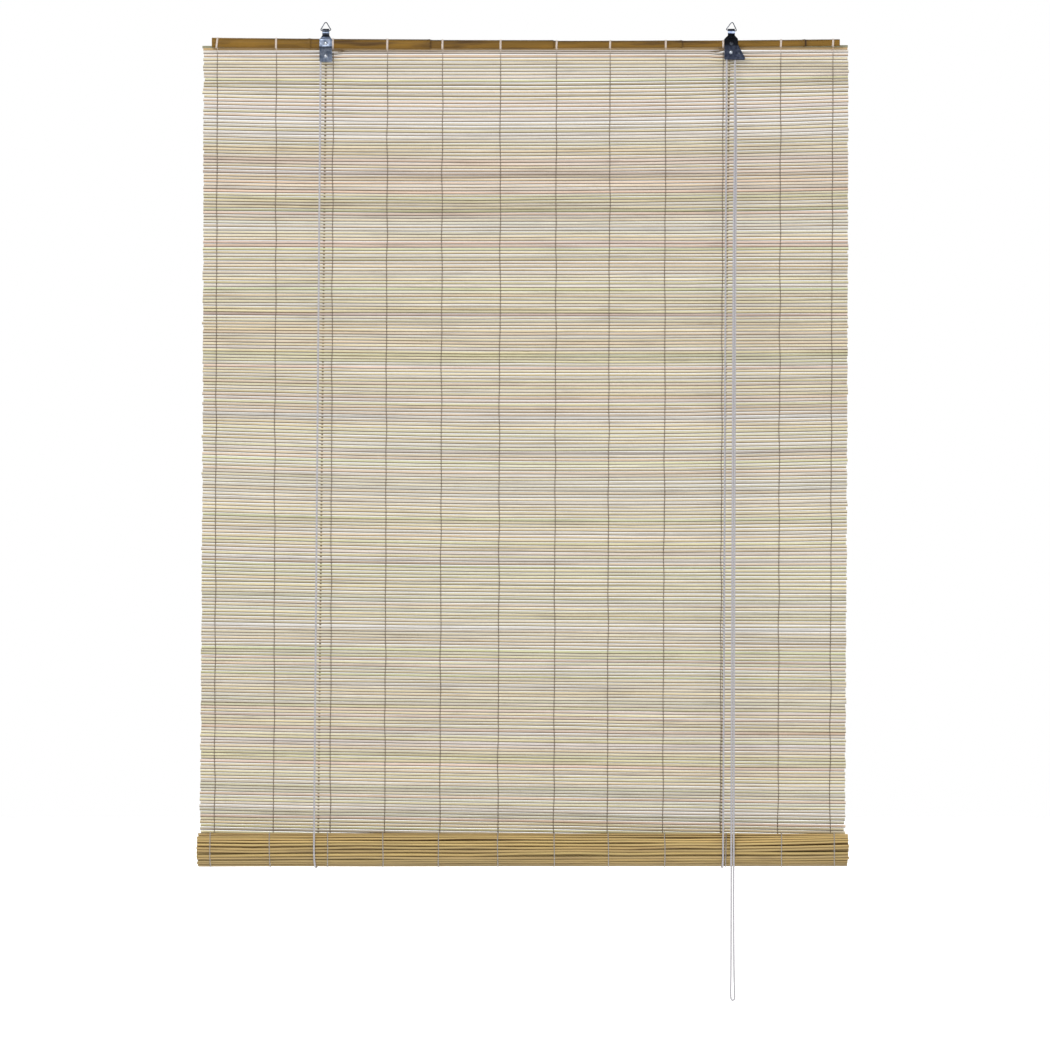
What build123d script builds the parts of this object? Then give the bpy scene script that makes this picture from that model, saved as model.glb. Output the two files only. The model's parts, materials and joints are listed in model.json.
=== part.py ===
from build123d import *
import math
import os

os.makedirs("parts", exist_ok=True)

# A bamboo roll-up blind, half let down, hanging from two wire rings.
# Millimetres. +X to the right, +Z up, -Y to the front, where the room is.
# X = 0 midway between the two hanging points, Y = 0 on the header cane's axis,
# Z = 0 where the hooks bear under the tops of the rings.

# Clearances
running_gap = 0.3      # between pieces that move past each other
resting_gap = 0.15     # between pieces that lie against each other
shaft_gap = 0.05       # round a pin or rivet in its hole
through = 20.0         # half length of a hole's cutter, past both faces of anything here

# Woven mat
mat_width = 900.0
slat_height = 2.8
slat_depth = 1.8
slat_pitch = 4.6
edge_slat_height = 3.7  # the thicker slat that ends the weave under the cane
hanging_slats = 240
slat_bands = 6
mat_lean = 4.2          # how far the lower end hangs to the left of the upper end

# Warp threads, one pair twisted round every slat
thread_radius = 0.4
thread_count = 12
thread_inset = 20.3     # first thread from the mat's edge
thread_drift = (0.0, 4.3, 5.4, 3.2, 2.0, 4.9, 4.9, 1.5, 1.0, 3.0, 5.4, 0.0)
thread_bend = 1.5       # where a thread leaves the cane for the slats

# Header cane
cane_short = 24.0       # the cane is this much shorter than the mat is wide
cane_length = mat_width - cane_short
cane_offset = 0.9       # its middle, right of the mat's middle
cane_mid_z = -29.9
cane_bow = 2.6          # its ends stand this much higher than its middle
cane_knuckles = (0.156, 0.347, 0.543, 0.748, 0.944)   # shares of its length
cane_radii = (7.0, 7.0, 6.2, 5.2, 4.8, 4.8)           # between the knuckles
knuckle_rise = 0.7
knuckle_half = 4.0

# Roll at the foot of the mat
roll_radius = 24.0
roll_spare = 8.0        # the turns are not quite true, so the roll is this much longer
core_radius = 8.5
core_length = 896.0

# Cord
cord_radius = 1.25
cord_joint = 0.1        # where a stretch of cord passes into the next
knot_radius = 2.5
knot_tail = 0.5         # cord that shows below a knot
lock_knot_shift = 2.6   # the lock's knot lies this far left of its rivet
left_wrap_shift = 15.6  # each cord goes round the roll this far left of its strap
lock_wrap_shift = 12.4
pull_tip_z = -1362.5
pull_clear = 1.4        # pull cord to the front of the roll

# Route of the left cord across to the lock
strap_lead = 6.4        # along the wheel's plane, past the left strap
weave_run = 9.5         # length over which it passes through the mat
lock_lead = 15.7        # where it comes forward again, left of the lock
lock_run_in = 5.2       # where it is in line with its groove, left of the lock

# Bent steel straps
strap_thickness = 1.0
strap_corner = 1.6      # rounding of the lower corners
strap_edge_gap = 1.0    # between a strap's edge and the thread beside it
shoulder_bend = 2.0     # bends in the sheet, on its middle
neck_bend = 1.0
eye_bend = 0.9
neck_half = 4.9
eye_radius = 1.7        # inside of the fold that holds the ring
eye_reach = 1.9         # eye centre down to where the fold closes
neck_z = -17.3

# Left strap, with one wheel
left_half = 8.75
left_shoulder_z = -23.1
left_bottom_z = -54.1
left_step = 1.5         # the front plate steps in below the cane
step_run = 1.2          # height of that step
step_bend = 0.7
left_pitch = 7.1        # axle to the cord's centre
left_wheel_width = 5.0

# Right strap, with two grooves in its wheel and a gripping cam
lock_left = 9.8
lock_right_top = 9.1
lock_waist_z = -30.1
lock_foot = 20.2
lock_shoulder_z = -22.3
lock_bottom_z = -51.1
lock_axle_x = -0.7      # wheel axle from the strap's middle
lock_pitch = 5.9
lock_wheel_width = 7.4
lock_cord_y = 1.6       # each cord's distance from the middle of the wheel
cam_width = 6.6
cam_axle_x = 11.2       # from the strap's middle
cam_axle_z = -42.7
cam_hub = 3.0
cam_nose = 1.2          # rounding of the two ends of the toothed face
cam_nose_drops = (2.2, 5.0)     # those ends below the axle
cam_nose_slope = 0.3    # the lower one lies this much further from the cord
cam_tail = (5.0, 5.2, 1.7)      # right of the axle, below it, and rounding
cam_pin_radius = 1.2
tooth_radius = 0.4
tooth_pitch = 1.0
tooth_count = 4

# Rivets
rivet_radius = 1.5
rivet_head = 2.8
rivet_head_height = 1.5
rivet_tail = 1.0        # thickness of the flange behind a clamp rivet
axle_radius = 1.6
collar_radius = 2.9

# Wire rings
ring_wire = 0.7
ring_half = 7.8
ring_height = 13.0      # base bar to the corner where the two sides would meet
ring_top_bend = 2.0
ring_foot_bend = 1.3
ring_joint = 0.1        # the butt joint in the base bar
right_ring_tilt = 6.0

# Worked out from the sizes above
thread_step = (mat_width - 2 * thread_inset) / (thread_count - 1)
threads_from_middle = [
    -mat_width / 2 + thread_inset + k * thread_step + drift
    for k, drift in enumerate(thread_drift)
]
left_from_middle = threads_from_middle[2] - thread_radius - strap_edge_gap - left_half
lock_from_middle = threads_from_middle[9] + thread_radius + strap_edge_gap + lock_left
mat_x = -(left_from_middle + lock_from_middle) / 2
left_x = mat_x + left_from_middle
lock_x = mat_x + lock_from_middle
thread_xs = [mat_x + u for u in threads_from_middle]
cane_x = mat_x + cane_offset


def cane_radius(x):
    """Radius of the cane between its knuckles at x."""
    share = (x - cane_x) / cane_length + 0.5
    return cane_radii[sum(share > knuckle for knuckle in cane_knuckles)]


def cane_z(x):
    """Height of the bowed cane's axis at x."""
    return cane_mid_z + cane_bow * ((x - cane_x) / (cane_length / 2)) ** 2


ring_half_angle = math.atan2(ring_half, ring_height)
ring_top = ring_height - ring_top_bend * (1 / math.sin(ring_half_angle) - 1)
bar_z = -(ring_top - ring_wire)      # base bar of the ring, below the hooking line
tilt_room = neck_half * math.sin(math.radians(right_ring_tilt))
eye_z = bar_z + ring_wire + running_gap + tilt_room - eye_radius     # the eye hangs on the bar

left_plate = cane_radius(left_x) + resting_gap     # inner faces of the plates
lock_plate = cane_radius(lock_x) + resting_gap
left_clamp_z = cane_z(left_x)
lock_clamp_z = cane_z(lock_x)

mat_y = left_plate + strap_thickness + running_gap + slat_depth / 2
thread_off = slat_depth / 2 + resting_gap + thread_radius
back_cord_y = mat_y + thread_off + thread_radius + resting_gap + cord_radius
lift_cord_y = mat_y + slat_depth / 2 + running_gap + cord_radius

# The weave starts below the clamp rivets, and opens once to let the cord through
top_slat_z = min(left_clamp_z, lock_clamp_z) - rivet_radius - running_gap - slat_height / 2
edge_slat_z = top_slat_z - slat_height / 2 - running_gap - edge_slat_height / 2
cane_foot_z = left_clamp_z - cane_radius(left_x)
passage_z = min(edge_slat_z - edge_slat_height / 2, cane_foot_z) - running_gap - cord_radius
first_slat_z = passage_z - cord_radius - running_gap - slat_height / 2
last_slat_z = first_slat_z - (hanging_slats - 1) * slat_pitch

roll_y = mat_y + slat_depth / 2 - roll_radius
roll_meets = math.sqrt((roll_radius + running_gap) ** 2 - (roll_radius - slat_depth) ** 2)
roll_z = last_slat_z - slat_height / 2 - roll_meets
roll_x = mat_x - mat_lean
roll_length = mat_width + roll_spare
wrap_radius = roll_radius + running_gap + cord_radius

left_axle_z = passage_z - left_pitch
lock_top_z = lock_clamp_z - cane_radius(lock_x) - running_gap - cord_radius
lock_axle_z = lock_top_z - lock_pitch
left_cord_y = -(left_plate - left_step) + running_gap + left_wheel_width / 2
left_wrap_x = left_x - left_wrap_shift
lock_wrap_x = lock_x - lock_wrap_shift
lock_wheel_x = lock_x + lock_axle_x
knot_y = mat_y + slat_depth / 2 + running_gap + knot_radius
knot_drop = 2 * cord_radius + rivet_radius + running_gap + 0.6 * knot_radius
tail_drop = knot_drop + knot_radius + knot_tail      # from the rivet to the end of the tail
pull_x = lock_wheel_x + lock_pitch
pull_plane_y = roll_y - roll_radius - cord_radius - pull_clear


def slat_x(z):
    """Middle of a slat at height z, on the leaning mat."""
    return mat_x - mat_lean * (first_slat_z - z) / (first_slat_z - roll_z)


def bar_along_y(radius, y0, y1, x, z):
    """Round bar from y0 to y1."""
    return Pos(x, (y0 + y1) / 2, z) * Rot(X=90) * Cylinder(radius, y1 - y0)


def dome(radius, height, y, x, z):
    """Rivet head standing out to the front from y."""
    ball = (radius**2 + height**2) / (2 * height)
    head = Pos(x, y + ball - height, z) * Sphere(ball)
    return head & bar_along_y(radius, y - height, y, x, z)


def tube(points, bends, radius):
    """Round tube along straight runs joined by arcs."""
    path = FilletPolyline(*points, radius=bends) if bends else Line(*points)
    return sweep(Plane(path @ 0, z_dir=path % 0) * Circle(radius), path)


def easy_bends(points):
    """The largest arc that each corner of a free cord's route has room for."""
    bends = []
    for before, corner, after in zip(points, points[1:], points[2:]):
        run_in = Vector(*corner) - Vector(*before)
        run_out = Vector(*after) - Vector(*corner)
        half_turn = math.radians(run_in.get_angle(run_out)) / 2
        bends.append(0.45 * min(run_in.length, run_out.length) / math.tan(half_turn))
    return bends


def save(shape, node):
    """Write one node's STEP file."""
    export_step(shape, f"parts/{node}.step")


def make_cane():
    """Bowed bamboo cane with knuckles, drilled for the two clamp rivets."""
    start = cane_x - cane_length / 2
    stations = [(start, cane_radii[0])]
    for share, before, after in zip(cane_knuckles, cane_radii, cane_radii[1:]):
        x = start + share * cane_length
        stations.append((x - knuckle_half, before))
        stations.append((x, max(before, after) + knuckle_rise))
        stations.append((x + knuckle_half, after))
    stations.append((start + cane_length, cane_radii[-1]))
    rings = [
        Plane((x, 0, cane_z(x)), x_dir=(0, 1, 0), z_dir=(1, 0, 0)) * Circle(radius)
        for x, radius in stations
    ]
    cane = loft(rings, ruled=True)
    for x, z in ((left_x, left_clamp_z), (lock_x, lock_clamp_z)):
        cane -= bar_along_y(rivet_radius + shaft_gap, -through, through, x, z)
    return cane


def make_slat(z, height):
    """One slat of the mat."""
    return Pos(slat_x(z), mat_y, z) * Box(mat_width, slat_depth, height)


def make_thread(x):
    """A warp thread: up in front of the slats, round the cane and down behind them."""
    around = cane_radius(x) + resting_gap + thread_radius
    low_z = cane_z(x) - around
    high_z = cane_z(x) + around
    foot_z = last_slat_z - slat_height / 2
    foot_x = x - mat_lean
    front_y = mat_y - thread_off
    rear_y = mat_y + thread_off
    points = [
        (foot_x, front_y, foot_z),
        (x, front_y, low_z),
        (x, -around, low_z),
        (x, -around, high_z),
        (x, rear_y, high_z),
        (x, rear_y, low_z),
        (foot_x, rear_y, foot_z),
    ]
    over_cane = 0.97 * around
    bends = [thread_bend, over_cane, over_cane, 0.6 * rear_y, thread_bend]
    return tube(points, bends, thread_radius)


def make_roll():
    """The wound turns as one piece, fluted by the slats of the outer turn."""
    outer_slats = round(2 * math.pi * (roll_radius - slat_depth / 2) / slat_pitch)
    flute_centre = roll_radius - slat_height / 2
    flutes = PolarLocations(flute_centre, outer_slats) * Circle(slat_height / 2)
    section = Circle(flute_centre) + flutes
    section -= Circle(core_radius + resting_gap)
    middle = Plane((roll_x, roll_y, roll_z), x_dir=(0, 1, 0), z_dir=(1, 0, 0))
    return extrude(middle * section, roll_length / 2, both=True)


def make_core():
    """Round batten in the middle of the roll."""
    return Pos(roll_x, roll_y, roll_z) * Rot(Y=90) * Cylinder(core_radius, core_length)


def strap_sheet(plate, front_foot, front_bends, shoulder_z, bottom_z):
    """Folded strip from the foot of the front plate, round the ring's bar, to the back."""
    half = strap_thickness / 2
    face = plate + half
    neck = half + shaft_gap
    eye = eye_radius + half
    fold_z = eye_z - eye_reach
    up = [shoulder_bend, shoulder_bend, neck_bend, eye_bend, 0.9 * eye]
    path = FilletPolyline(
        *front_foot,
        (0, -face, shoulder_z),
        (0, -neck, neck_z),
        (0, -neck, fold_z - eye),
        (0, -eye, eye_z - eye_reach / 2),
        (0, -eye, eye_z + eye),
        (0, eye, eye_z + eye),
        (0, eye, eye_z - eye_reach / 2),
        (0, neck, fold_z - eye),
        (0, neck, neck_z),
        (0, face, shoulder_z),
        (0, face, bottom_z),
        radius=[*front_bends, *up, *reversed(up)],
    )
    wide = 3 * (lock_foot + lock_left)
    section = Plane(path @ 0, x_dir=(1, 0, 0), z_dir=path % 0) * Rectangle(wide, strap_thickness)
    return sweep(section, path)


def strap_outline(corners):
    """Block with the strap's outline, as seen from the front."""
    face = make_face(Plane.XZ * Polyline(*corners, close=True))
    block = extrude(face, through, both=True)
    lowest = block.edges().filter_by(Axis.Y).group_by(Axis.Z)[0]
    return fillet(lowest, strap_corner)


def make_left_strap():
    """Folded steel strap that clamps the cane and carries the left wheel."""
    step_z = left_clamp_z - cane_radius(left_x) - resting_gap
    face = left_plate + strap_thickness / 2
    foot = [
        (0, left_step - face, left_bottom_z),
        (0, left_step - face, step_z - step_run),
        (0, -face, step_z),
    ]
    bends = [step_bend, step_bend]
    sheet = strap_sheet(left_plate, foot, bends, left_shoulder_z, left_bottom_z)
    outline = strap_outline([
        (-neck_half, 0),
        (-neck_half, neck_z),
        (-left_half, left_shoulder_z),
        (-left_half, left_bottom_z),
        (left_half, left_bottom_z),
        (left_half, left_shoulder_z),
        (neck_half, neck_z),
        (neck_half, 0),
    ])
    strap = Pos(left_x, 0, 0) * (sheet & outline)
    strap -= bar_along_y(rivet_radius + shaft_gap, -through, through, left_x, left_clamp_z)
    strap -= bar_along_y(axle_radius + shaft_gap, -through, through, left_x, left_axle_z)
    return strap


def make_lock_strap():
    """Folded steel strap that clamps the cane and houses the wheel and the cam."""
    foot = [(0, -lock_plate - strap_thickness / 2, lock_bottom_z)]
    sheet = strap_sheet(lock_plate, foot, [], lock_shoulder_z, lock_bottom_z)
    outline = strap_outline([
        (-neck_half, 0),
        (-neck_half, neck_z),
        (-lock_left, lock_shoulder_z),
        (-lock_left, lock_bottom_z),
        (lock_foot, lock_bottom_z),
        (lock_right_top, lock_waist_z),
        (lock_right_top, lock_shoulder_z),
        (neck_half, neck_z),
        (neck_half, 0),
    ])
    strap = Pos(lock_x, 0, 0) * (sheet & outline)
    strap -= bar_along_y(rivet_radius + shaft_gap, -through, through, lock_x, lock_clamp_z)
    strap -= bar_along_y(axle_radius + shaft_gap, -through, through, lock_wheel_x, lock_axle_z)
    cam_x = lock_x + cam_axle_x
    strap -= bar_along_y(cam_pin_radius + shaft_gap, -through, through, cam_x, cam_axle_z)
    return strap


def make_clamp_rivet(x, z, plate):
    """Rivet through both plates and the cane, long enough behind for the cord's eye."""
    front = -plate - strap_thickness
    rear = lift_cord_y + cord_radius + running_gap
    rivet = bar_along_y(rivet_radius, front, rear, x, z)
    rivet += dome(rivet_head, rivet_head_height, front, x, z)
    rivet += bar_along_y(rivet_head, rear, rear + rivet_tail, x, z)
    return rivet


def make_axle(x, z, front_face, back_face, wheel_front, wheel_back):
    """Shouldered rivet that carries a wheel between the plates."""
    front = front_face - strap_thickness
    back = back_face + strap_thickness
    axle = bar_along_y(axle_radius, front, back, x, z)
    axle += dome(rivet_head, rivet_head_height, front, x, z)
    for start, end in ((front_face, wheel_front), (wheel_back, back_face)):
        if end - start > 2 * running_gap:
            axle += bar_along_y(collar_radius, start, end, x, z)
    return axle


def make_wheel(x, y, z, width, pitch, grooves):
    """Grooved wheel, bored for its axle."""
    wheel = bar_along_y(pitch + running_gap, y - width / 2, y + width / 2, x, z)
    for groove in grooves:
        wheel -= Pos(x, y + groove, z) * Rot(X=90) * Torus(pitch, cord_radius + resting_gap)
    return wheel - bar_along_y(axle_radius + shaft_gap, y - width, y + width, x, z)


def make_cam():
    """Toothed cam that pinches the pull cord against the wheel."""
    x = lock_x + cam_axle_x
    z = cam_axle_z
    nose_x = pull_x + cord_radius + running_gap + cam_nose
    upper, lower = cam_nose_drops
    tail_right, tail_drop_z, tail_radius = cam_tail
    rounds = (
        (x, z, cam_hub),
        (nose_x, z - upper, cam_nose),
        (nose_x + cam_nose_slope, z - lower, cam_nose),
        (x + tail_right, z - tail_drop_z, tail_radius),
    )
    edges = []
    for cx, cz, radius in rounds:
        place = Plane((cx, 0, cz), x_dir=(1, 0, 0), z_dir=(0, -1, 0))
        edges += (place * Circle(radius)).edges()
    local = [Plane.XZ.to_local_coords(edge) for edge in edges]
    cam = extrude(Plane.XZ * make_hull(local), cam_width / 2, both=True)
    for step in range(tooth_count):
        tooth_z = z - upper - tooth_pitch * (step - 0.2)
        cam -= bar_along_y(tooth_radius, -through, through, nose_x - cam_nose, tooth_z)
    return cam - bar_along_y(cam_pin_radius + shaft_gap, -through, through, x, z)


def make_cam_pin():
    """Pin of the cam, flush with both plates."""
    reach = lock_plate + strap_thickness
    return bar_along_y(cam_pin_radius, -reach, reach, lock_x + cam_axle_x, cam_axle_z)


def make_ring(x, tilt):
    """Triangular wire ring, butted in the middle of its base bar."""
    ring = tube(
        [
            (ring_joint / 2, 0, 0),
            (ring_half, 0, 0),
            (0, 0, ring_height),
            (-ring_half, 0, 0),
            (-ring_joint / 2, 0, 0),
        ],
        [ring_foot_bend, ring_top_bend, ring_foot_bend],
        ring_wire,
    )
    return Pos(x, 0, bar_z) * Rot(Y=tilt) * ring


def make_tie(post_x, post_z, knot_x):
    """End of a lift cord: an eye round the rivet's tail, a knot below it and a short tail."""
    eye_bend = rivet_radius + running_gap + cord_radius
    tie = Pos(post_x, lift_cord_y, post_z) * Rot(X=90) * Torus(eye_bend, cord_radius)
    knot_z = post_z - knot_drop
    tie += Pos(knot_x, knot_y, knot_z) * Sphere(knot_radius)
    tail_length = knot_radius + 2 * knot_tail
    tail = Pos(knot_x, lift_cord_y, knot_z - knot_radius / 2) * Cylinder(cord_radius, tail_length)
    return tie + tail


def make_front_strand(x, y, z, wrap_x):
    """Taut cord from a wheel down to the front of the roll."""
    top = (x, y, z - cord_joint)
    return tube([top, (wrap_x, roll_y - wrap_radius, roll_z + cord_joint)], None, cord_radius)


def make_rear_strand(x, z, wrap_x):
    """Taut cord from its knot's tail down behind the mat to the back of the roll."""
    top = (x, lift_cord_y, z - cord_joint)
    return tube([top, (wrap_x, lift_cord_y, roll_z + cord_joint)], None, cord_radius)


def make_roll_loop(wrap_x):
    """The half turn of a lift cord under the roll."""
    middle = Plane((wrap_x, roll_y, roll_z), x_dir=(0, 1, 0), z_dir=(1, 0, 0))
    loop = middle * CenterArc((0, 0), wrap_radius, 180, 180)
    return sweep(Plane(loop @ 0, z_dir=loop % 0) * Circle(cord_radius), loop)


def make_cross_cord():
    """Left cord over its wheel, through the mat, behind it, and over the lock's wheel."""
    side = left_x - left_pitch
    in_x = left_x + left_half + strap_lead
    out_x = lock_x - lock_left - lock_lead
    over_x = lock_x - lock_left - lock_run_in
    points = [
        (side, left_cord_y, left_axle_z),
        (side, left_cord_y, passage_z),
        (in_x, left_cord_y, passage_z),
        (in_x + weave_run, back_cord_y, passage_z),
        (out_x, back_cord_y, passage_z),
        (over_x, lock_cord_y, passage_z),
        (lock_wheel_x - 0.6 * lock_pitch, lock_cord_y, lock_top_z),
        (pull_x, lock_cord_y, lock_top_z),
        (pull_x, lock_cord_y, lock_bottom_z),
    ]
    bends = easy_bends(points)
    bends[0] = 0.98 * left_pitch
    bends[1] = 0.85 * bends[1]
    bends[4] = 0.9 * bends[4]
    bends[5] = 0.75 * bends[5]
    bends[6] = 0.98 * lock_pitch
    print("cross cord radii", [round(bend, 1) for bend in bends])
    return tube(points, bends, cord_radius)


def make_lock_cord():
    """Right cord over the lock's wheel and down past the cam."""
    side = lock_wheel_x - lock_pitch
    points = [
        (side, -lock_cord_y, lock_axle_z),
        (side, -lock_cord_y, lock_top_z),
        (pull_x, -lock_cord_y, lock_top_z),
        (pull_x, -lock_cord_y, lock_bottom_z),
    ]
    return tube(points, [0.98 * lock_pitch, 0.98 * lock_pitch], cord_radius)


# Route of the hanging pull cord: down in front of the roll, back up beside itself
pull_route = [
    (pull_x, -lock_cord_y, lock_bottom_z - cord_joint),
    (pull_x, -lock_cord_y, -58.3),
    (pull_x - 0.1, -5.4, -73.3),
    (pull_x - 0.3, -14.6, -102.3),
    (pull_x - 0.7, -27.4, -147.3),
    (pull_x - 1.1, -36.4, -192.3),
    (pull_x - 1.5, -40.2, -237.3),
    (pull_x - 2.2, pull_plane_y, -297.3),
    (pull_x - 4.4, pull_plane_y, -1125.0),
    (pull_x - 4.6, pull_plane_y, -1325.0),
    (pull_x - 5.4, pull_plane_y, pull_tip_z + 9.0),
    (pull_x - 4.6, pull_plane_y, pull_tip_z + cord_radius),
    (pull_x + 0.6, pull_plane_y, pull_tip_z + cord_radius),
    (pull_x + 1.2, pull_plane_y, pull_tip_z + 9.0),
    (pull_x - 0.6, pull_plane_y, -1325.0),
    (pull_x + 0.4, pull_plane_y, -1125.0),
    (pull_x + 1.2, pull_plane_y, -297.3),
    (pull_x + 1.1, -39.6, -237.3),
    (pull_x + 0.9, -35.0, -192.3),
    (pull_x + 0.7, -25.4, -147.3),
    (pull_x + 0.4, -12.0, -102.3),
    (pull_x + 0.1, -2.4, -73.3),
    (pull_x, lock_cord_y, -58.3),
    (pull_x, lock_cord_y, lock_bottom_z - cord_joint),
]


def make_pull_cord():
    """The hanging pull cord, one cord doubled back at its tip."""
    bends = easy_bends(pull_route)
    print("pull cord radii", [round(bend, 1) for bend in bends])
    return tube(pull_route, bends, cord_radius)


# Header
save(make_cane(), "header_cane")
top_slat = make_slat(top_slat_z, slat_height)
edge_slat = make_slat(edge_slat_z, edge_slat_height)
save(Compound([top_slat, edge_slat]), "edge_slats")

# Mat
slats_per_band = hanging_slats // slat_bands
for band in range(slat_bands):
    heights = [
        first_slat_z - slat_pitch * (band * slats_per_band + k)
        for k in range(slats_per_band)
    ]
    slats = [make_slat(z, slat_height) for z in heights]
    save(Compound(slats), f"mat_slats_{band + 1:02d}")
for number, x in enumerate(thread_xs, 1):
    save(make_thread(x), f"warp_thread_{number:02d}")

# Roll
save(make_roll(), "rolled_mat")
save(make_core(), "roll_core")

# Left hardware
save(make_left_strap(), "left_strap")
save(make_ring(left_x, 0), "left_ring")
save(make_clamp_rivet(left_x, left_clamp_z, left_plate), "left_clamp_rivet")
left_wheel_front = left_cord_y - left_wheel_width / 2 - running_gap
left_wheel_back = left_cord_y + left_wheel_width / 2 + running_gap
left_front_face = left_step - left_plate
left_axle = make_axle(left_x, left_axle_z, left_front_face, left_plate, left_wheel_front, left_wheel_back)
save(left_axle, "left_axle")
save(make_wheel(left_x, left_cord_y, left_axle_z, left_wheel_width, left_pitch, [0]), "left_wheel")

# Cord lock
save(make_lock_strap(), "lock_strap")
save(make_ring(lock_x, right_ring_tilt), "right_ring")
save(make_clamp_rivet(lock_x, lock_clamp_z, lock_plate), "lock_clamp_rivet")
lock_reach = lock_wheel_width / 2 + running_gap
save(make_axle(lock_wheel_x, lock_axle_z, -lock_plate, lock_plate, -lock_reach, lock_reach), "lock_axle")
lock_grooves = [-lock_cord_y, lock_cord_y]
save(make_wheel(lock_wheel_x, 0, lock_axle_z, lock_wheel_width, lock_pitch, lock_grooves), "lock_wheel")
save(make_cam(), "lock_cam")
save(make_cam_pin(), "cam_pin")

# Lift cords
lock_knot_x = lock_x - lock_knot_shift
left_side = left_x - left_pitch
lock_side = lock_wheel_x - lock_pitch
save(make_tie(left_x, left_clamp_z, left_x), "left_tie")
save(make_tie(lock_x, lock_clamp_z, lock_knot_x), "right_tie")
save(make_rear_strand(left_x, left_clamp_z - tail_drop, left_wrap_x), "left_rear_cord")
save(make_rear_strand(lock_knot_x, lock_clamp_z - tail_drop, lock_wrap_x), "right_rear_cord")
save(make_front_strand(left_side, left_cord_y, left_axle_z, left_wrap_x), "left_front_cord")
save(make_front_strand(lock_side, -lock_cord_y, lock_axle_z, lock_wrap_x), "right_front_cord")
save(make_roll_loop(left_wrap_x), "left_roll_cord")
save(make_roll_loop(lock_wrap_x), "right_roll_cord")
save(make_cross_cord(), "cross_cord")
save(make_lock_cord(), "lock_cord")
save(make_pull_cord(), "pull_cord")
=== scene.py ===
"""Looks of a bamboo roll-up blind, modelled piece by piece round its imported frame.

Metres, +X to the right, +Z up, -Y to the front, with the hooking line at the origin.
"""

import json
import math

import bmesh
import bpy
import numpy as np
from bpy.props import FloatProperty, FloatVectorProperty, IntProperty, PointerProperty
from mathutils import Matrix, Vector, noise

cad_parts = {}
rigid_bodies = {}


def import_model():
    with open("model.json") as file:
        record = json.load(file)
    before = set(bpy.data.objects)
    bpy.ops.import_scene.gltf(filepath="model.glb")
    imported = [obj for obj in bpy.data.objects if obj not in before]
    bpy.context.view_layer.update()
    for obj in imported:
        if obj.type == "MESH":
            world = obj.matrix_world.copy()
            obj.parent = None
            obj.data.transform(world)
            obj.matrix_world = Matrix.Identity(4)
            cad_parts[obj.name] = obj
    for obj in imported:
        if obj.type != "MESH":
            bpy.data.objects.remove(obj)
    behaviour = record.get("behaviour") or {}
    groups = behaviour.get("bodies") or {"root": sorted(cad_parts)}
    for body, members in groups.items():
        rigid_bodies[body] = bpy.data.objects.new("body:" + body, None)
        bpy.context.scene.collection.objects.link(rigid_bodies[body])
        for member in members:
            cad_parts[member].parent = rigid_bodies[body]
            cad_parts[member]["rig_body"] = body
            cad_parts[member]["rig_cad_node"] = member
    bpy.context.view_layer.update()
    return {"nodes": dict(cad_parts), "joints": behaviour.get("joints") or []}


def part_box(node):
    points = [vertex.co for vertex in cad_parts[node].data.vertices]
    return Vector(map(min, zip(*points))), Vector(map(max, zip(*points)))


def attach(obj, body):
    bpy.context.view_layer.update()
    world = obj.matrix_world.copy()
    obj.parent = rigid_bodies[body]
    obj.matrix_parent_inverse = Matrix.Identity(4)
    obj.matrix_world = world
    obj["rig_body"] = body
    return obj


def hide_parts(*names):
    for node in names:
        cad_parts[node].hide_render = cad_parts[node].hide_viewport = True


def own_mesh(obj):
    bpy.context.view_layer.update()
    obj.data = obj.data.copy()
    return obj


bl_info = {
    "name": "Bamboo Roll-up Blind",
    "version": (1, 0, 0),
    "blender": (4, 5, 0),
    "location": "3D View > Sidebar > Blind",
    "description": "Models the slats, threads, cane, cords and hardware of a bamboo roll-up blind",
    "category": "Add Mesh",
}

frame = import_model()
NODES = frame["nodes"]
JOINTS = {joint["name"]: joint for joint in frame["joints"]}
MM = 0.001


# ---------------------------------------------------------------- places, from the frame

def ends_of(node):
    """Centres of a CAD strand's top and bottom ends."""
    points = np.array([vertex.co for vertex in NODES[node].data.vertices])
    top = points[points[:, 2] > points[:, 2].max() - 0.3 * MM].mean(0)
    foot = points[points[:, 2] < points[:, 2].min() + 0.3 * MM].mean(0)
    return Vector(top), Vector(foot)


def middle_of(node):
    """Centre of a CAD node's box."""
    low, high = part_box(node)
    return (low + high) / 2


BANDS = sorted(name for name in NODES if name.startswith("mat_slats_"))
THREADS = sorted(name for name in NODES if name.startswith("warp_thread_"))
ROLL_AXIS = Vector(JOINTS["roll_spin"]["pos_m"])
MAT_Y = middle_of(BANDS[0]).y
MAT_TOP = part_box(BANDS[0])[1].z
MAT_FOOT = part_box(BANDS[-1])[0].z
MAT_X_TOP = middle_of("edge_slats").x
MAT_X_FOOT = ROLL_AXIS.x
EDGE_LOW, EDGE_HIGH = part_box("edge_slats")
LEFT_X = middle_of("left_strap").x
LOCK_X = middle_of("lock_clamp_rivet").x
CANE_LOW, CANE_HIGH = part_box("header_cane")
ROLL_LOW, ROLL_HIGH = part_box("rolled_mat")


# ---------------------------------------------------------------- settings

def display(red, green, blue):
    """Scene-linear colour of a displayed one, from 0 to 1."""
    return tuple(
        value / 12.92 if value <= 0.04045 else ((value + 0.055) / 1.055) ** 2.4
        for value in (red, green, blue)
    )


def colour(name, description, *shown):
    """Colour property with a displayed default."""
    return FloatVectorProperty(
        name=name, description=description, subtype="COLOR", size=3, min=0, max=1,
        default=display(*shown),
    )


def length(name, description, default):
    """Length property in metres."""
    return FloatProperty(name=name, description=description, default=default, unit="LENGTH", precision=5)


def strength(name, description, default, unit="NONE"):
    """Strength or power property."""
    return FloatProperty(name=name, description=description, default=default, unit=unit)


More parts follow.
